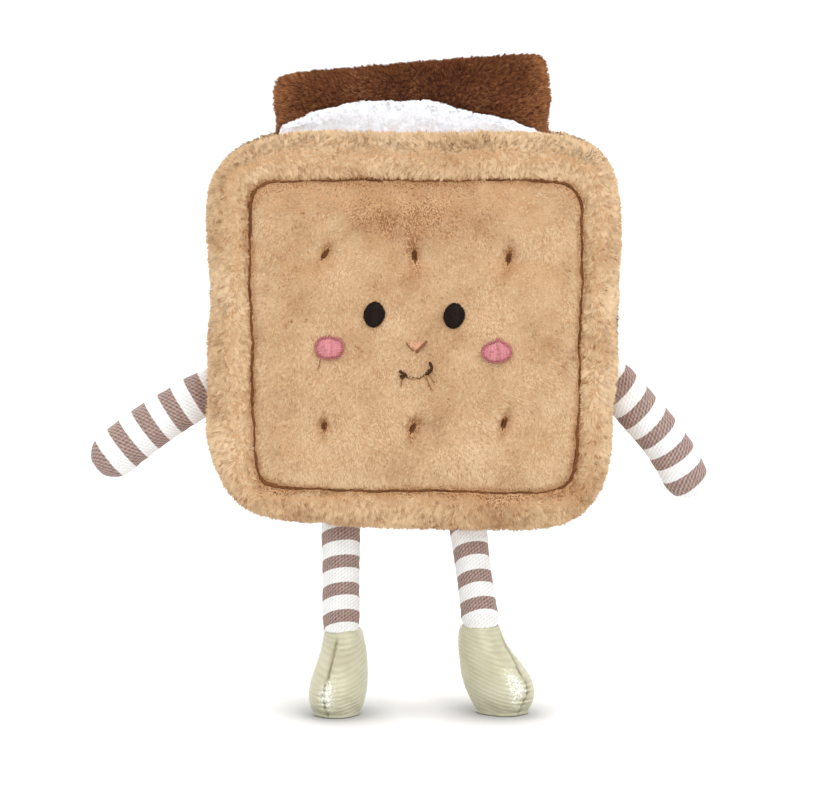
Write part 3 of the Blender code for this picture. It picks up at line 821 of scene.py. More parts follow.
def fur_mesh(name, points, shading, tone):
    """Two triangles a strand, with the tone and the normals as attributes. Its map for baking
    has the tone across it and the place along the strand up it."""
    count = len(points)
    first = np.arange(count) * 4
    triangles = np.stack([first, first + 2, first + 1, first + 1, first + 2, first + 3], axis=1)
    mesh = triangle_mesh(name, points.reshape(-1, 3), triangles.reshape(-1, 3))
    normals = np.repeat(shading, 4, axis=0)
    tones = np.repeat(tone, 4)
    along = np.tile((0.0, 0.5, 0.5, 1.0), count)
    fur = np.stack([tones, along, np.zeros(count * 4)], axis=1)
    for key, values in (("fur", fur), ("fur_normal", normals)):
        layer = mesh.attributes.new(key, "FLOAT_VECTOR", "POINT")
        layer.data.foreach_set("vector", values.ravel())
    side = np.tile((0.0, -0.01, 0.01, 0.0), count)
    place = np.stack([tones * 0.96 + 0.02 + side, along * 0.96 + 0.02], axis=1)
    bake = mesh.uv_layers.new(name="OFBake")
    bake.data.foreach_set("uv", place[triangles.ravel()].ravel())
    mesh.normals_split_custom_set_from_vertices(normals.tolist())
    return mesh


def face_gap(x, z):
    """How far a place lies from the embroidery, in shares of each patch's size: below 1 is on it."""
    patches = [(place, EYE_SIZE) for place in EYES.values()]
    patches += [(place, CHEEK_SIZES[name]) for name, place in CHEEKS.items()]
    gaps = [np.hypot((x - px) / (w / 2), (z - pz) / (h / 2)) for (px, pz), (w, h) in patches]
    strokes = MOUTH_CORNERS[::2] + NOSE_STROKES[1:]
    gaps += [np.hypot(x - sx, z - sz) / (0.8 * MM) for stroke in strokes for sx, sz in stroke]
    return np.min(gaps, axis=0)


def cracker_pile(side, on_rim):
    """The pile of a cracker's panel or rim: where it grows, how it lies, its length and tone, with
    painted shade and a painted highlight in that tone.
    """
    def pile(points, normals):
        local = points - BODY
        x, depth, z = local[:, 0], local[:, 1] * side, local[:, 2]
        border = border_distance(x, z)
        border = np.where(depth > 20 * MM, border, np.maximum(border, 12 * MM))
        from_line = np.abs(border)
        shown = ~in_pocket(local, depth) & (normals[:, 1] * side > -0.6) & (depth > 0.4 * MM)
        bare = (0.40 + 1.10 * smooth_noise(points, 2.4 * MM, 4.4)) * MM
        here = border > 0 if on_rim else border <= 0
        weight = (shown & here & (from_line > bare)).astype(float)
        length = 0.45 + 0.55 * smooth_step(0.5 * MM, 4.5 * MM, from_line)
        parted = 0.55 + 0.9 * smooth_noise(points, 2.0 * MM, 9.3)
        parted *= np.sign(border) * np.exp(-from_line / (2.2 * MM))
        lean = edge_direction(x, z) * parted[:, None]
        turn = 1.9 * smooth_noise(points, 30 * MM, 3.1)
        lean[:, 0] += 0.42 * np.sin(turn)
        lean[:, 2] -= 0.42 * np.cos(turn)
        tone = 0.54 + 0.26 * smooth_noise(points, 24 * MM, 7.7)
        tone += 0.14 * smooth_noise(points, 8 * MM, 1.3)
        if on_rim:
            # Painted shade: the rim darker towards its bottom
            tone -= 0.18 * smooth_step(-0.070, -0.092, z)
            # Painted highlight: lighter where the rim faces sideways, for light scattered through the
            # pile at its edge
            tone += 0.05 * smooth_step(0.4, 0.95, 1 - np.abs(normals[:, 1]))
        else:
            shape_panel(x, z, side, lean, length, weight, tone)
        # Painted shade in the stitched groove: darker close to the line
        tone -= (0.50 + 0.16 * smooth_noise(points, 4 * MM, 8.1)) * bell(border, 2.8 * MM)
        # Painted shade where the pile parts
        if side == FRONT:
            tone -= 0.5 * bell(parting_distance(x, z), 0.6 * MM)
        return Pile(weight, along_skin(lean, normals), length, tone)
    return pile


def shape_panel(x, z, side, lean, length, weight, tone):
    """Opens the pile round the dimples and the face, parts it here and there, and paints shade into
    its tone round the dimples and in a patch high on the panel.
    """
    away = dimple_away(x, z)
    gap = np.linalg.norm(away, axis=1)
    slit = slit_distance(x, z)
    weight *= slit > 0.75
    length *= 0.40 + 0.60 * smooth_step(1.5 * MM, 6.5 * MM, gap)
    lean += away / np.maximum(gap, 1e-6)[:, None] * (0.9 * np.exp(-gap / (3 * MM)))[:, None]
    # Painted shade in and round the dimples' slits
    tone -= 0.62 * bell(slit, 2.0)
    # Painted shade: a darker patch high on the panel, where the pile lies another way
    tone -= 0.44 * bell(x - 0.004, 0.038) * bell(z - 0.056, 0.020)
    if side != FRONT:
        return
    face = face_gap(x, z)
    ragged = 0.12 * smooth_noise(np.stack([x, x, z], axis=1), 1.6 * MM, 6.6)
    weight *= face + ragged > 0.90
    length *= 0.75 + 0.25 * smooth_step(1.0, 1.5, face)
    tone -= 0.10 * bell(x + 0.002, 0.030) * bell(z - 0.024, 0.010)
    across, up = (x - NOSE[0]) / (NOSE_SIZE[0] / 2), (z - NOSE[1]) / (NOSE_SIZE[1] / 2)
    length *= np.where(np.hypot(across, up) < 0.9, 1.1, 1.0)
    length *= 1 - 0.35 * bell(parting_distance(x, z), 0.55 * MM)


def edge_direction(x, z):
    """Away from the panel, in the plane of the face."""
    across = np.sign(x) * (np.abs(x) / GROOVE_HALF_WIDTH) ** 6
    up = np.sign(z) * (np.abs(z) / GROOVE_HALF_HEIGHT) ** 6
    return unit_rows(np.stack([across, np.zeros_like(x), up], axis=1))


def chocolate_pile(points, normals):
    """The shaggy pile of the chocolate, lighter at its ends, with a painted shadow just above the
    marshmallow.
    """
    local = points - BODY
    x, z = local[:, 0], local[:, 2]
    weight = (z > PAD_SHOWS_ABOVE).astype(float)
    lean = np.zeros_like(points)
    turn = 1.2 * smooth_noise(points, 30 * MM, 5.5)
    lean[:, 0] += 0.75 * np.cos(turn) * np.tanh((x - 0.01) / 0.02)
    lean[:, 2] += 0.45 * np.sin(turn) + 0.15
    near_end = smooth_step(0.046, 0.070, np.abs(x - CHOCOLATE_MIDDLE))
    tone = 0.36 + 0.22 * smooth_noise(points, 14 * MM, 2.2) + 0.42 * near_end
    # Painted shadow along the marshmallow's edge
    tone -= 0.40 * bell(z - marshmallow_top(x), 2.2 * MM)
    return Pile(weight, along_skin(lean, normals), np.ones(len(points)), tone)


def marshmallow_pile(points, normals):
    """The even fleece of the marshmallow."""
    weight = (points[:, 2] - BODY[2] > PAD_SHOWS_ABOVE).astype(float)
    lean = np.zeros_like(points)
    lean[:, 2] += 0.1
    tone = 0.6 + 0.3 * smooth_noise(points, 12 * MM, 9.0)
    return Pile(weight, lean, np.ones(len(points)), tone)


def marshmallow_rise(x):
    return np.interp(x, *np.array(MARSHMALLOW_RISE).T)


def marshmallow_top(x):
    """Height of the marshmallow's edge in front of the chocolate."""
    return MARSHMALLOW_PEAK - 0.0145 * (np.abs(x + 0.002) / 0.068) ** 2.2 + marshmallow_rise(x)


def warp_marshmallow(mesh):
    """Lifts and lowers the free edge, and gives it small lumps."""
    points = read_points(mesh)
    x, z = points[:, 0] - BODY[0], points[:, 2] - BODY[2]
    free = smooth_step(PAD_SHOWS_ABOVE - 4 * MM, PAD_SHOWS_ABOVE + 8 * MM, z)
    lumps = 0.7 * MM * smooth_noise(points, 5 * MM, 3.7)
    points[:, 2] += free * (marshmallow_rise(x) + lumps)
    write_points(mesh, points)


def warp_chocolate(mesh):
    """Rounds off the top right corner."""
    points = read_points(mesh)
    x, z = points[:, 0] - BODY[0], points[:, 2] - BODY[2]
    points[:, 0] -= 2.8 * MM * smooth_step(0.112, 0.133, z) * smooth_step(0.048, 0.067, x)
    write_points(mesh, points)


def add_fur(name, skin_piece, pile, style, seed, slot, material, side=FRONT):
    points, shading, tone = grow_fur(skin_of(skin_piece), pile, style, seed, side)
    fur = new_piece(name, fur_mesh(name, points, shading, tone), slot, material)
    # Light passes through real fur, so its strands darken neither each other nor the backing
    fur.visible_shadow = False
    fur.visible_diffuse = False


# Pads

def stuff_pad(name, node, shrink):
    """A pad, full size in the pocket and smaller above it by the depth of its pile."""
    piece = copy_of_node(name, node)
    remesh(piece, PAD_VOXEL)
    points = read_points(piece.data)
    free = smooth_step(PAD_SHOWS_ABOVE, PAD_SHOWS_ABOVE + 10 * MM, points[:, 2] - BODY[2])
    write_points(piece.data, points - read_normals(piece.data) * (shrink * free)[:, None])
    blow_up(piece, free < 0.3, PAD_CAP, CUSHION_SLACK)
    subdivide(piece)
    return piece


# Limbs

def curve_through(points, count):
    """Points on a smooth curve through the given ones."""
    ends = [2 * points[0] - points[1]] + points + [2 * points[-1] - points[-2]]
    spans = len(points) - 1
    curve = []
    for k in range(count):
        place = min(k * spans / (count - 1), spans - 1e-9)
        i = int(place)
        t = place - i
        a, b, c, d = ends[i:i + 4]
        bend = 2 * a - 5 * b + 4 * c - d
        twist = 3 * b - 3 * c + d - a
        curve.append(0.5 * (2 * b + (c - a) * t + bend * t * t + twist * t ** 3))
    return curve


def stuffed_tree(node, voxel, swell, held):
    """A search tree over a solid that has been blown up as cloth."""
    piece = copy_of_node("work", node)
    remesh(piece, voxel)
    points = read_points(piece.data)
    fixed = held(points)
    write_points(piece.data, points + read_normals(piece.data) * (swell * (1 - fixed))[:, None])
    blow_up(piece, fixed > 0.5, LIMB_CAP, LIMB_SLACK)
    smooth_out(piece, 1)
    subdivide(piece)
    tree = search_tree(piece)
    mesh = piece.data
    bpy.data.objects.remove(piece)
    bpy.data.meshes.remove(mesh)
    return tree


def hit(tree, start, direction, otherwise):
    place = tree.ray_cast(start, direction, 0.05)[0]
    return place if place is not None else start + direction * otherwise


def ring_on(tree, centre, across, through, rise, along, count):
    """Points round a limb: rays out from its middle line, closer together where it is flat."""
    wide = [(hit(tree, centre, across * s, 0.002) - centre).length for s in (1, -1)]
    deep = [(hit(tree, centre, through * s, 0.0005) - centre).length for s in (1, -1)]
    half_wide, half_deep = sum(wide) / 2, sum(deep) / 2
    ring = []
    for k in range(count):
        angle = 2 * math.pi * k / count
        flat = across * half_wide * math.cos(angle) + through * half_deep * math.sin(angle)
        direction = flat.normalized() * math.cos(rise) + along * math.sin(rise)
        ring.append(hit(tree, centre, direction, flat.length))
    return ring


def ring_faces(rows, count):
    """Quads between neighbouring rings of points."""
    faces = []
    for i in range(rows - 1):
        for k in range(count):
            low, low_next = i * count + k, i * count + (k + 1) % count
            faces.append((low, low_next, low_next + count, low + count))
    return faces


def grid_mesh(name, rings, lengths, around_length):
    """A closed mesh through rings of points, with the cloth's own place in metres as a UV map."""
    rows, count = len(rings), len(rings[0])
    points = [point for ring in rings for point in ring]
    faces = ring_faces(rows, count)
    places = []
    for i in range(rows - 1):
        for k in range(count):
            places += [(k, i), (k + 1, i), (k + 1, i + 1), (k, i + 1)]
    for row in (0, rows - 1):
        tip = len(points)
        points.append(sum(rings[row], Vector()) / count)
        for k in range(count):
            here, beside = row * count + k, row * count + (k + 1) % count
            faces.append((here, beside, tip) if row else (beside, here, tip))
            places += [(k, row), (k + 1, row), (k + 0.5, row)]
    mesh = bpy.data.meshes.new(name)
    mesh.from_pydata([tuple(p) for p in points], [], faces)
    cloth = mesh.uv_layers.new(name="cloth")
    spots = np.array([(k / count * around_length, lengths[i]) for k, i in places])
    cloth.data.foreach_set("uv", spots.ravel())
    mesh.update()
    mesh.shade_smooth()
    return mesh


def limb_mesh(name, tree, path, is_arm):
    """Wraps a fine grid round a limb that has been blown up, with wrinkles, and for a leg a flared
    top and an end carried into its shoe.
    """
    toward = Vector((0, -1, 0))
    rings, lengths, along_path = [], [], 0.0
    for k, centre in enumerate(path):
        before, after = path[max(k - 1, 0)], path[min(k + 1, len(path) - 1)]
        along = (after - before).normalized()
        across = along.cross(toward).normalized()
        if k:
            along_path += (centre - path[k - 1]).length
        rings.append(ring_on(tree, centre, across, toward, 0.0, along, LIMB_AROUND))
        lengths.append(along_path)
    for step in range(ARM_END_ROWS if is_arm else 0):
        rise = ARM_END_TURN * (step + 1)
        rings.append(ring_on(tree, path[-1], across, toward, rise, along, LIMB_AROUND))
        lengths.append(along_path + LIMB_HALF * rise)
    wrinkle_rings(rings, lengths)
    if not is_arm:
        fold_top(rings, lengths)
        run_into_shoe(rings, lengths)
    return grid_mesh(name, rings, lengths, 2 * math.pi * LIMB_HALF)


def wrinkle_rings(rings, lengths):
    """Small creases across the cloth."""
    for ring, length in zip(rings, lengths):
        centre = sum(ring, Vector()) / len(ring)
        for k, point in enumerate(ring):
            angle = 2 * math.pi * k / len(ring)
            place = Vector((math.cos(angle) * 1.1, math.sin(angle) * 1.1, length / 0.0045))
            outward = (point - centre).normalized()
            ring[k] = point + outward * (0.28 * MM * noise.noise(place))


def fold_top(rings, lengths):
    """Flares the leg's top, where its cloth is gathered into the cracker, mostly to the right."""
    for ring, length in zip(rings, lengths):
        open_share = 1 - smooth_step(0.5 * MM, 6.5 * MM, length)
        for k, point in enumerate(ring):
            angle = 2 * math.pi * k / len(ring)
            right = max(0.0, -math.cos(angle)) ** 2
            left = max(0.0, math.cos(angle)) ** 2
            ring[k] = point + Vector(((3.0 * right - 1.0 * left) * MM * open_share, 0, 0))


def run_into_shoe(rings, lengths):
    """Carries the leg straight down into the top of its shoe."""
    last = next(i for i, length in enumerate(lengths) if length > lengths[-1] - 2.2 * MM)
    for i in range(last + 1, len(rings)):
        drop = Vector((0, 0, 1.45 * (lengths[i] - lengths[last])))
        rings[i] = [point - drop for point in rings[last]]


def shift_stripes(mesh, stripe):
    """Moves the woven stripes in the cloth's own map, so that they arch and tilt."""
    cloth = mesh.uv_layers["cloth"].data
    spots = np.empty(len(cloth) * 2)
    cloth.foreach_get("uv", spots)
    spots = spots.reshape(-1, 2)
    angle = spots[:, 0] / LIMB_HALF
    front = np.maximum(0.0, np.sin(angle))
    spots[:, 1] -= stripe.arch * front + stripe.tilt * LIMB_HALF * np.cos(angle)
    cloth.foreach_set("uv", spots.ravel())


def world(x, z, y=0.0):
    """A place on the toy, measured from the middle of its crackers."""
    return Vector((BODY[0] + x, BODY[1] + y, BODY[2] + z))


def dress_limb(name, tree, path):
    stripe = STRIPES[name]
    mesh = limb_mesh(name + "_cloth", tree, path, name in ARM_PATHS)
    shift_stripes(mesh, stripe)
    material = striped_material(name + "_twill", stripe)
    limb = new_piece(name + "_cloth", mesh, "striped_cotton", material, name)


def add_arm(name):
    points = [world(x, z) for x, z in ARM_PATHS[name]]

    def held(places):
        return 1 - smooth_step(2 * MM, 8 * MM, np.abs(places[:, 0] - points[0].x))

    tree = stuffed_tree(name, LIMB_VOXEL, 0.5 * MM, held)
    dress_limb(name, tree, curve_through(points, LIMB_ROWS))


def add_leg(name):
    low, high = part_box(name)
    points = read_points(frame["nodes"][name].data)
    top = Vector(points[points[:, 2] > high.z - 1.0 * MM].mean(0).tolist())
    ankle = Vector(points[points[:, 2] < low.z + 1.0 * MM].mean(0).tolist())
    top.z, ankle.z = high.z - 0.4 * MM, low.z + 0.3 * MM
    path = [top.lerp(ankle, k / (LIMB_ROWS - 1)) for k in range(LIMB_ROWS)]

    def held(places):
        return np.maximum(1 - smooth_step(1 * MM, 6 * MM, high.z - places[:, 2]),
                          1 - smooth_step(1 * MM, 4 * MM, places[:, 2] - low.z))

    dress_limb(name, stuffed_tree(name, LIMB_VOXEL, 0.25 * MM, held), path)


# Shoes

def add_shoe(name, material):
    low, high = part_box(name)
    height = high.z - low.z
    tree = stuffed_tree(name, SHOE_VOXEL, 0.3 * MM, lambda p: (p[:, 2] < 1.2 * MM).astype(float))
    levels, middles = section_middles(read_points(frame["nodes"][name].data))
    rings, lengths, marks = [], [], []
    for i in range(SHOE_ROWS):
        level = low.z + 0.15 * MM + (height - 0.3 * MM) * i / (SHOE_ROWS - 1)
        centre = Vector((np.interp(level, levels, middles[:, 0]),
                         np.interp(level, levels, middles[:, 1]), level))
        ring, ring_marks = shoe_ring(name, tree, centre, low.z, height)
        rings.append(ring)
        lengths.append(level)
        marks += ring_marks
    turn_in_top(rings, lengths, marks)
    mesh = grid_mesh(name + "_lame", rings, lengths, 0.09)
    marks += [(0.0, 0.0, 0.5)] * (len(mesh.vertices) - len(marks))
    layer = mesh.attributes.new("marks", "FLOAT_VECTOR", "POINT")
    layer.data.foreach_set("vector", np.array(marks).ravel())
    shoe = new_piece(name + "_lame", mesh, "gold_lame", material, name)


def shoe_ring(name, tree, centre, bottom, height):
    """Points round a shoe at one level, with the marks that its material reads: the painted shade
    along the seam, the painted glint, and the rib's height. Its lowest part goes straight down."""
    turn = SHOE_TURNS[name]
    forward = Vector((math.sin(turn), -math.cos(turn), 0))
    across = Vector((math.cos(turn), math.sin(turn), 0))
    probe = Vector((centre.x, centre.y, max(centre.z, bottom + SHOE_SIDE_FROM)))
    up = centre.z / height
    seam = math.radians(np.interp(up, SHOE_SEAM_HEIGHTS, SHOE_SEAMS[name]))
    glint_arc, glint_height = SHOE_GLINTS[name]
    ring, marks = [], []
    for k in range(SHOE_AROUND):
        angle = 2 * math.pi * k / SHOE_AROUND
        direction = forward * math.cos(angle) + across * math.sin(angle)
        place = hit(tree, probe, direction, 0.009)
        place.z = centre.z
        arc = wrapped(angle - seam) * (place - centre).length
        relief, dark, rib = shoe_relief(arc, centre.z, height, place.dot(forward))
        for bulge_angle, share, push in SHOE_BULGES[name]:
            off = wrapped(angle - math.radians(bulge_angle))
            relief += push * bell(off, 0.7) * bell(up - share, 0.22)
        glint = bell(arc - glint_arc, 4.0 * MM) * bell(up - glint_height, 0.20)
        ring.append(place + direction * relief)
        marks.append((dark, glint, rib))
    return ring, marks


def section_middles(points):
    """The levels at which a solid has points, and the middle of its outline at each."""
    heights = np.round(points[:, 2], 4)
    levels = np.unique(heights)
    sections = [points[heights == level] for level in levels]
    wide = [k for k, section in enumerate(sections) if len(section) > 6]
    middles = np.array([(sections[k].min(0) + sections[k].max(0)) / 2 for k in wide])
    return levels[wide], middles


def wrapped(angle):
    """The same angle from minus to plus half a turn."""
    return (angle + math.pi) % (2 * math.pi) - math.pi


def shoe_relief(arc, level, height, ahead):
    """Ribs and the puckered seam: how far out, the seam's painted shade, and the rib's height."""
    rib = math.sin(2 * math.pi * (level + RIB_DIP * ahead) / RIB_PITCH)
    seam = bell(arc, 0.6 * MM)
    lips = bell(abs(arc) - 1.7 * MM, 1.0 * MM)
    low = 1 - smooth_step(0.36 * height, 0.50 * height, level)
    pucker = math.sin(2 * math.pi * level / (3.0 * MM) + 0.8 * math.sin(level / (1.1 * MM)))
    gather = bell(arc, 4.5 * MM) * (0.25 + 0.75 * low)
    fade = 1 - smooth_step(0.86 * height, 0.97 * height, level)
    flat = min(1.0, level / (3 * MM))
    relief = RIB_HEIGHT * rib * (1 - gather) - 0.9 * MM * seam + 0.35 * MM * lips
    relief += 0.34 * MM * pucker * gather
    # Painted shade along the seam and in the hollows of its puckers
    dark = seam * (1 - 0.6 * low * (0.5 + 0.5 * pucker))
    dark += 0.4 * low * gather * max(0.0, -pucker - 0.3)
    return relief * fade * flat, 0.8 * dark * fade, 0.5 + 0.5 * rib


def turn_in_top(rings, lengths, marks):
    """Rolls the shoe's top edge over, in to the ankle."""
    top = rings[-1]
    centre = sum(top, Vector()) / len(top)
    for share, rise in ((0.975, 0.5 * MM), (0.94, 0.7 * MM), (0.90, 0.5 * MM), (0.86, -0.6 * MM)):
        rings.append([centre.lerp(p, share) + Vector((0, 0, rise)) for p in top])
        lengths.append(lengths[-1] + 0.5 * MM)
        marks += [(0.0, 0.0, 0.7)] * len(top)


# Thread

def closed_rings(rings):
    """Points and faces of a solid through rings of points."""
    rows, count = len(rings), len(rings[0])
    faces = ring_faces(rows, count)
    faces.append(tuple(reversed(range(count))))
    faces.append(tuple((rows - 1) * count + k for k in range(count)))
    return [point for ring in rings for point in ring], faces


def tube(points, radius, sides=6, flat=1.0):
    """A thread along a line, flattened to a share of its width."""
    rings = []
    for k, centre in enumerate(points):
        before, after = points[max(k - 1, 0)], points[min(k + 1, len(points) - 1)]
        along = (after - before).normalized()
        across = along.cross(Vector((0, -1, 0))).normalized()
        through = across.cross(along) * flat
        size = radius * (0.45 if k in (0, len(points) - 1) else 1.0)
        turns = [2 * math.pi * j / sides for j in range(sides)]
        rings.append([centre + (across * math.cos(turn) + through * math.sin(turn)) * size
                      for turn in turns])
    return closed_rings(rings)


def thread_mesh(name, strands, darker=()):
    """One mesh of many threads, each with a shade of its own, the numbered ones a darker one."""
    points, faces, shades = [], [], []
    for k, (places, around) in enumerate(strands):
        start = len(points)
        points += [tuple(p) for p in places]
        faces += [tuple(start + i for i in face) for face in around]
        shade = 0.6 + 0.4 * noise.noise(Vector((k * 1.7, 0.3, 0.9)))
        shades += [0.25 * shade if k in darker else shade] * len(places)
    mesh = bpy.data.meshes.new(name)
    mesh.from_pydata(points, [], faces)
    layer = mesh.attributes.new("shade", "FLOAT", "POINT")
    layer.data.foreach_set("value", shades)
    mesh.update()
    mesh.shade_smooth()
    return mesh


def pile_top(x, z):
    """Depth of the pile's outer surface at a place on the front cracker."""
    start = world(x, z, -0.1)
    return front_skin.ray_cast(start, Vector((0, 1, 0)))[0].y - CRACKER_PILE


def on_pile(x, z, depth):
    """A place at a depth below the outer surface of the front cracker's pile."""
    return Vector((BODY[0] + x, pile_top(x, z) + depth, BODY[2] + z))


def on_patch(patch, u, v):
    """A place on a patch, as x and z from its middle. u and v run from -1 to 1."""
    width, height = patch.size
    return u * width / 2 + patch.lean * v * height / 2, v * height / 2


def satin_strands(patch):
    """Threads laid side by side over a patch, each arched over its padding."""
    count = int(patch.size[0] / SATIN_PITCH)
    strands = []
    for i in range(count):
        u = (i + 0.5) / count * 2 - 1
        low, high = patch.outline(u)
        points = []
        for j in range(9):
            t = j / 8 * 2 - 1
            x, z = on_patch(patch, u, (low + high) / 2 + (high - low) / 2 * t)
            z += 0.12 * MM * noise.noise(Vector((i * 3.1, t, 0)))
            crown = math.sqrt(max(0.0, 1 - t * t)) * math.sqrt(max(0.0, 1 - 0.8 * u * u))
            depth = patch.sink + 1.9 * MM - 2.3 * MM * crown
            points.append(on_pile(patch.place[0] + x, patch.place[1] + z, depth))
        strands.append(tube(points, SATIN_PITCH * 0.62, flat=0.7))
    return strands


def oval(u):
    half = (1 - abs(u) ** 1.9 * 0.97) ** (1 / 1.8)
    return -half, half * (1 - 0.05 * u)


def left_cheek(u):
    half = (1 - abs(u) ** 3.2 * 0.96) ** (1 / 2.6)
    return -half, half * (1 - 0.10 * u)


def right_cheek(u):
    half = (1 - abs(u) ** 2.4 * 0.97) ** (1 / 2.0)
    return -0.92 * half, half * (0.94 + 0.22 * math.exp(-((u - 0.1) / 0.22) ** 2))


def triangle(u):
    return -0.95 + 1.25 * abs(u), 0.75 - 0.25 * u * u


def padding(patch):
    """The stitched padding under the threads, down to the skin."""
    rings = []
    for share, drop in ((0.96, 4.2 * MM), (0.98, 2.4 * MM), (0.80, 0.9 * MM), (0.4, 0.35 * MM)):
        ring = []
        for k in range(28):
            angle = 2 * math.pi * k / 28
            u = math.cos(angle) * 0.99
            low, high = patch.outline(u)
            x, z = on_patch(patch, u, high if math.sin(angle) >= 0 else low)
            ring.append(on_pile(patch.place[0] + x * share, patch.place[1] + z * share,
                                drop + patch.sink))
        rings.append(ring)
    return closed_rings(rings)


def edge_strands(patch):
    """Short threads across a patch's edge, which hold it down."""
    loop = []
    for k in range(200):
        angle = 2 * math.pi * k / 200
        u = math.cos(angle) * 0.97
        low, high = patch.outline(u)
        v = (high if math.sin(angle) >= 0 else low) * abs(math.sin(angle)) ** 0.4
        x, z = on_patch(patch, u, v)
        loop.append(Vector((x, 0, z)))
    strands, walked = [], 0.0
    for k, spot in enumerate(loop):
        walked += (spot - loop[k - 1]).length
        if walked < EDGE_PITCH:
            continue
        walked = 0.0
        outward = spot.normalized()
        line = []
        for step, drop in EDGE_THREAD:
            place = spot + outward * step
            line.append(on_pile(patch.place[0] + place.x, patch.place[1] + place.z, drop))
        strands.append(tube(line, 0.30 * MM))
    return strands


def add_patch(name, patch, slot, material, edged=False):
    strands = [padding(patch)] + satin_strands(patch)
    first_edge = len(strands)
    if edged:
        strands += edge_strands(patch)
    mesh = thread_mesh(name + "_thread", strands, range(first_edge, len(strands)))
    new_piece(name + "_thread", mesh, slot, material, name)


def add_smile(material):
    """A thread that dips into the pile between the two corners of the mouth."""
    (x0, z0), (x1, z1) = SMILE_ENDS
    strands = []
    for lift, shift in ((0.0, -0.35 * MM), (0.2 * MM, 0.35 * MM)):
        line = []
        for k in range(25):
            t = k / 24
            z = z0 + (z1 - z0) * t - SMILE_SAG * 4 * t * (1 - t) + shift
            depth = SMILE_DEPTH * math.sin(math.pi * t) ** 0.35 + 0.4 * MM - lift
            line.append(on_pile(x0 + (x1 - x0) * t, z, depth))
        strands.append(tube(line, 0.45 * MM))
    for stroke in MOUTH_CORNERS:
        strands += stroke_strands(stroke, 0.25 * MM, 0.42 * MM)
    new_piece("smile_thread", thread_mesh("smile_thread", strands), "brown_thread", material, "smile")


def add_nose_strokes(material):
    """The dark stitches along the nose's two lower edges, the left one sunk in the pile, and the
    loose hairs."""
    strands = stroke_strands(NOSE_STROKES[0], -0.1 * MM, 0.36 * MM)[:1]
    strands += stroke_strands(NOSE_STROKES[1], -0.5 * MM, 0.36 * MM)
    for stroke in LOOSE_HAIRS:
        strands += stroke_strands(stroke, -0.1 * MM, 0.17 * MM)[2:]
    new_piece("nose_edge", thread_mesh("nose_edge", strands), "brown_thread", material)


def stroke_strands(stroke, sink, radius):
    """Three threads side by side along a short stroke, its ends drawn into the pile."""
    middle = curve_through([Vector((x, 0, z)) for x, z in stroke], STROKE_STEPS + 1)
    strands = []
    for shift in (-0.34 * MM, 0.34 * MM, 0.0):
        line = []
        for k, place in enumerate(middle):
            t = 2 * k / STROKE_STEPS - 1
            before, after = middle[max(k - 1, 0)], middle[min(k + 1, STROKE_STEPS)]
            spot = place + (after - before).normalized().cross(Vector((0, 1, 0))) * shift
            depth = sink + 1.6 * MM * abs(t) ** 4 + (0.25 * MM if shift else 0.0)
            line.append(on_pile(spot.x, spot.z, depth))
        strands.append(tube(line, radius))
    return strands


def groove_path():
    """Places round the stitched line, found by stepping out from the middle to where it runs."""
    path = []
    for k in range(GROOVE_STEPS):
        angle = 2 * math.pi * k / GROOVE_STEPS
        low, high = 0.05, 0.14
        for _ in range(22):
            reach = (low + high) / 2
            x, z = reach * math.cos(angle), reach * math.sin(angle)
            if border_distance(np.array([x]), np.array([z]))[0] < 0:
                low = reach
            else:
                high = reach
        path.append((x, z))
    return path


def add_stitches(name, skin, side, material):
    """The thread along the stitched line, and short bars in each dimple."""
    tree = search_tree(skin)

    def on_skin(x, z, lift):
        start = world(x, z, side * 0.1)
        place = tree.ray_cast(start, Vector((0, -side, 0)))[0]
        return place + Vector((0, side * lift, 0))

    strands = groove_strands(on_skin) + dimple_strands(on_skin)
    new_piece(name, thread_mesh(name, strands), "brown_thread", material)


def groove_strands(on_skin):
    """Stitches end to end along the line, thicker in the corners of the panel. Their dark brown also
    stands in for painted shade deep in the groove.
    """
    strands = []
    path = groove_path()
    for k in range(0, GROOVE_STEPS, STITCH_STEPS):
        points = []
        for j in range(9):
            x, z = path[(k + round(j * (STITCH_STEPS + 1) / 8)) % GROOVE_STEPS]
            points.append(on_skin(x, z, 0.45 * MM + 0.15 * MM * math.sin(math.pi * j / 8)))
        x, z = path[k]
        corner = bell(abs(x) - 0.075, 9 * MM) * bell(abs(z) - 0.071, 9 * MM)
        thick = 0.56 + 0.36 * noise.noise(Vector((k * 0.11, 2.2, 0.4))) + 0.40 * corner
        strands.append(tube(points, thick * MM, flat=0.6))
    return strands


def dimple_strands(on_skin):
    """Three bars side by side in each dimple's slit."""
    strands = []
    for x, z, lean, half_length in DIMPLES:
        for shift, share in ((-0.9 * MM, 0.55), (0.0, 1.0), (0.9 * MM, 0.7)):
            reach = half_length * share
            points = []
            for t in (-1, -0.6, -0.2, 0.2, 0.6, 1):
                points.append(on_skin(x + shift + t * reach * math.sin(lean),
                                      z + t * reach * math.cos(lean), 0.5 * MM * (1 - t * t)))
            strands.append(tube(points, 0.42 * MM, flat=0.8))
    return strands


# Stage

def add_stage():
    scene = bpy.context.scene
    scene.view_settings.view_transform = "Standard"
    studio = bpy.data.worlds.new("studio")
    studio.use_nodes = True
    background = studio.node_tree.nodes["Background"]
    background.inputs["Color"].default_value = grey(1.0)
    background.inputs["Strength"].default_value = WORLD_STRENGTH
    scene.world = studio
    for name, (strength, turn) in (("key", KEY), ("back_light", BACK_LIGHT)):
        sun = bpy.data.lights.new(name, "SUN")
        sun.energy = strength
        sun.angle = LIGHT_SOFTNESS
        lamp = bpy.data.objects.new(name, sun)
        lamp.rotation_euler = turn
        scene.collection.objects.link(lamp)
    add_floor(scene)
    add_camera(scene)


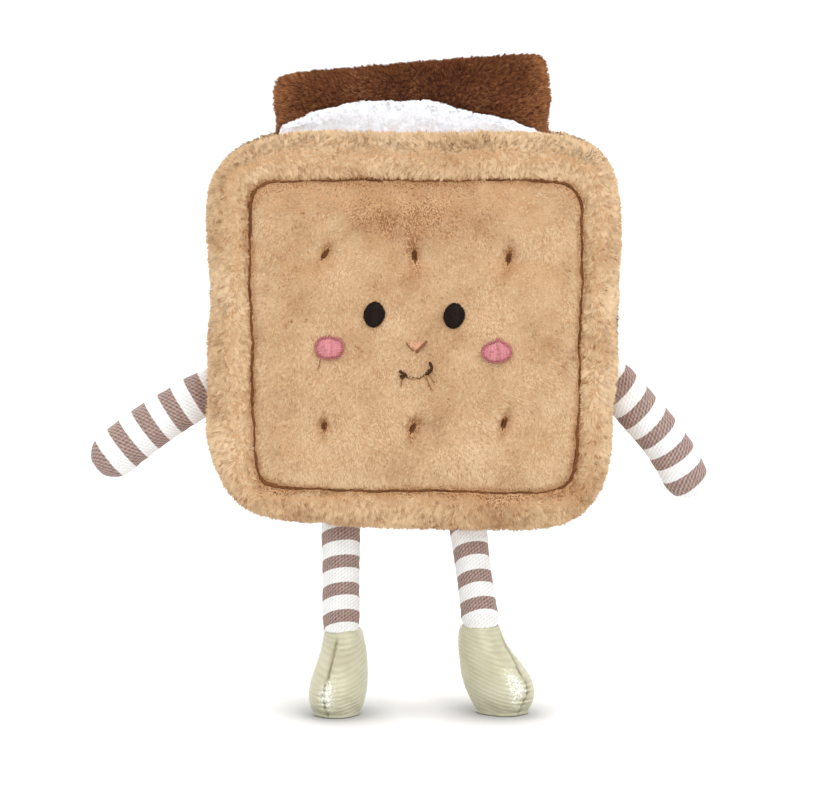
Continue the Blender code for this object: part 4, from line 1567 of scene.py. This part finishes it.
def add_camera(scene):
    lens = bpy.data.cameras.new("camera")
    lens.lens = CAMERA_LENS
    lens.clip_end = 200.0
    camera = bpy.data.objects.new("camera", lens)
    back = Vector((0, -math.cos(CAMERA_ELEVATION), math.sin(CAMERA_ELEVATION)))
    camera.location = AIM + back * CAMERA_DISTANCE
    camera.rotation_euler = (math.pi / 2 - CAMERA_ELEVATION, 0, 0)
    scene.collection.objects.link(camera)
    scene.camera = camera


def add_floor(scene):
    """A wide pale floor, with a painted contact shadow where something stands close to it."""
    mesh = bpy.data.meshes.new("floor")
    reach = FLOOR_HALF_SIZE
    corners = [(-reach, -reach), (reach, -reach), (reach, reach), (-reach, reach)]
    mesh.from_pydata([(x, y, -FLOOR_DROP) for x, y in corners], [], [(0, 1, 2, 3)])
    shader = Shader("floor", roughness=0.9, specular=0.0)
    pale = shader.ramp(shader.noise(3.0), [(0.0, grey(0.77)), (1.0, grey(0.79))])
    crowded = shader.node("AmbientOcclusion", {"Distance": CONTACT_REACH})
    contact = shader.ramp(crowded.outputs["AO"],
                          [(place, grey(value)) for place, value in CONTACT_SHADES])
    shader.colour(shader.mix(1.0, pale, contact, "MULTIPLY"))
    mesh.materials.append(shader.material)
    floor = bpy.data.objects.new("floor", mesh)
    scene.collection.objects.link(floor)


# The toy

def add_crackers():
    """Both crackers. Returns a search tree over the front one's skin."""
    fur = fur_material("tan_fur", TAN_TIPS, TAN_ROOTS)
    backing = backing_material("tan_backing", *TAN_BACKING)
    thread = thread_material("brown_stitch", *STITCH_THREAD, specular=0.03)
    rows = [("front", "cracker_front", FRONT, PANEL_FUR, RIM_FUR, 11),
            ("back", "cracker_back", BACK, BACK_PANEL_FUR, BACK_RIM_FUR, 31)]
    for word, node, side, panel_style, rim_style, seed in rows:
        skin = stuff_cracker(word + "_cushion", node, side)
        finish_piece(skin, "tan_fur", backing, node)
        coats = [("_panel_fur", panel_style, False), ("_rim_fur", rim_style, True)]
        for k, (ending, style, on_rim) in enumerate(coats):
            add_fur(word + ending, skin, cracker_pile(side, on_rim), style, seed + k, "tan_fur",
                    fur, side)
        add_stitches(word + "_stitches", skin, side, thread)
        if side == FRONT:
            front = search_tree(skin)
    return front


def add_chocolate():
    skin = stuff_pad("chocolate_pad", "chocolate", CHOCOLATE_PILE)
    warp_chocolate(skin.data)
    finish_piece(skin, "brown_fur", backing_material("brown_backing", *BROWN_BACKING), "chocolate")
    fur = fur_material("brown_fur", BROWN_TIPS, BROWN_ROOTS, 0.12, BROWN_SHEEN)
    add_fur("chocolate_fur", skin, chocolate_pile, CHOCOLATE_FUR, 51, "brown_fur", fur)


def add_marshmallow():
    skin = stuff_pad("marshmallow_pad", "marshmallow", MARSHMALLOW_PILE)
    warp_marshmallow(skin.data)
    backing = backing_material("white_backing", *WHITE_BACKING)
    finish_piece(skin, "white_fleece", backing, "marshmallow")
    fleece = fur_material("white_fleece", WHITE_TIPS, WHITE_ROOTS)
    add_fur("marshmallow_fleece", skin, marshmallow_pile, FLEECE, 61, "white_fleece", fleece)


def add_face():
    black = thread_material("black_thread", *BLACK_THREAD, specular=0.06)
    for name, place in EYES.items():
        add_patch(name, Patch(place, EYE_SIZE, 0.08, oval, 0.0), "black_thread", black)
    pink = thread_material("pink_thread", *PINK_THREAD, specular=0.1)
    shapes = {"cheek_left": left_cheek, "cheek_right": right_cheek}
    for name, place in CHEEKS.items():
        cheek = Patch(place, CHEEK_SIZES[name], 0.05, shapes[name], 0.0)
        add_patch(name, cheek, "pink_thread", pink, edged=True)
    tan = thread_material("tan_thread", *TAN_THREAD, specular=0.1)
    add_patch("nose", Patch(NOSE, NOSE_SIZE, 0.0, triangle, NOSE_SINK), "tan_thread", tan)
    add_smile(thread_material("smile_thread", *SMILE_THREAD, specular=0.05))
    add_nose_strokes(thread_material("nose_stitch", *NOSE_THREAD, specular=0.05))


add_stage()
front_skin = add_crackers()
add_chocolate()
add_marshmallow()
add_face()
for arm in ARM_PATHS:
    add_arm(arm)
for leg in ("leg_left", "leg_right"):
    add_leg(leg)
lame = lame_material("gold_lame")
for shoe in SHOE_TURNS:
    add_shoe(shoe, lame)
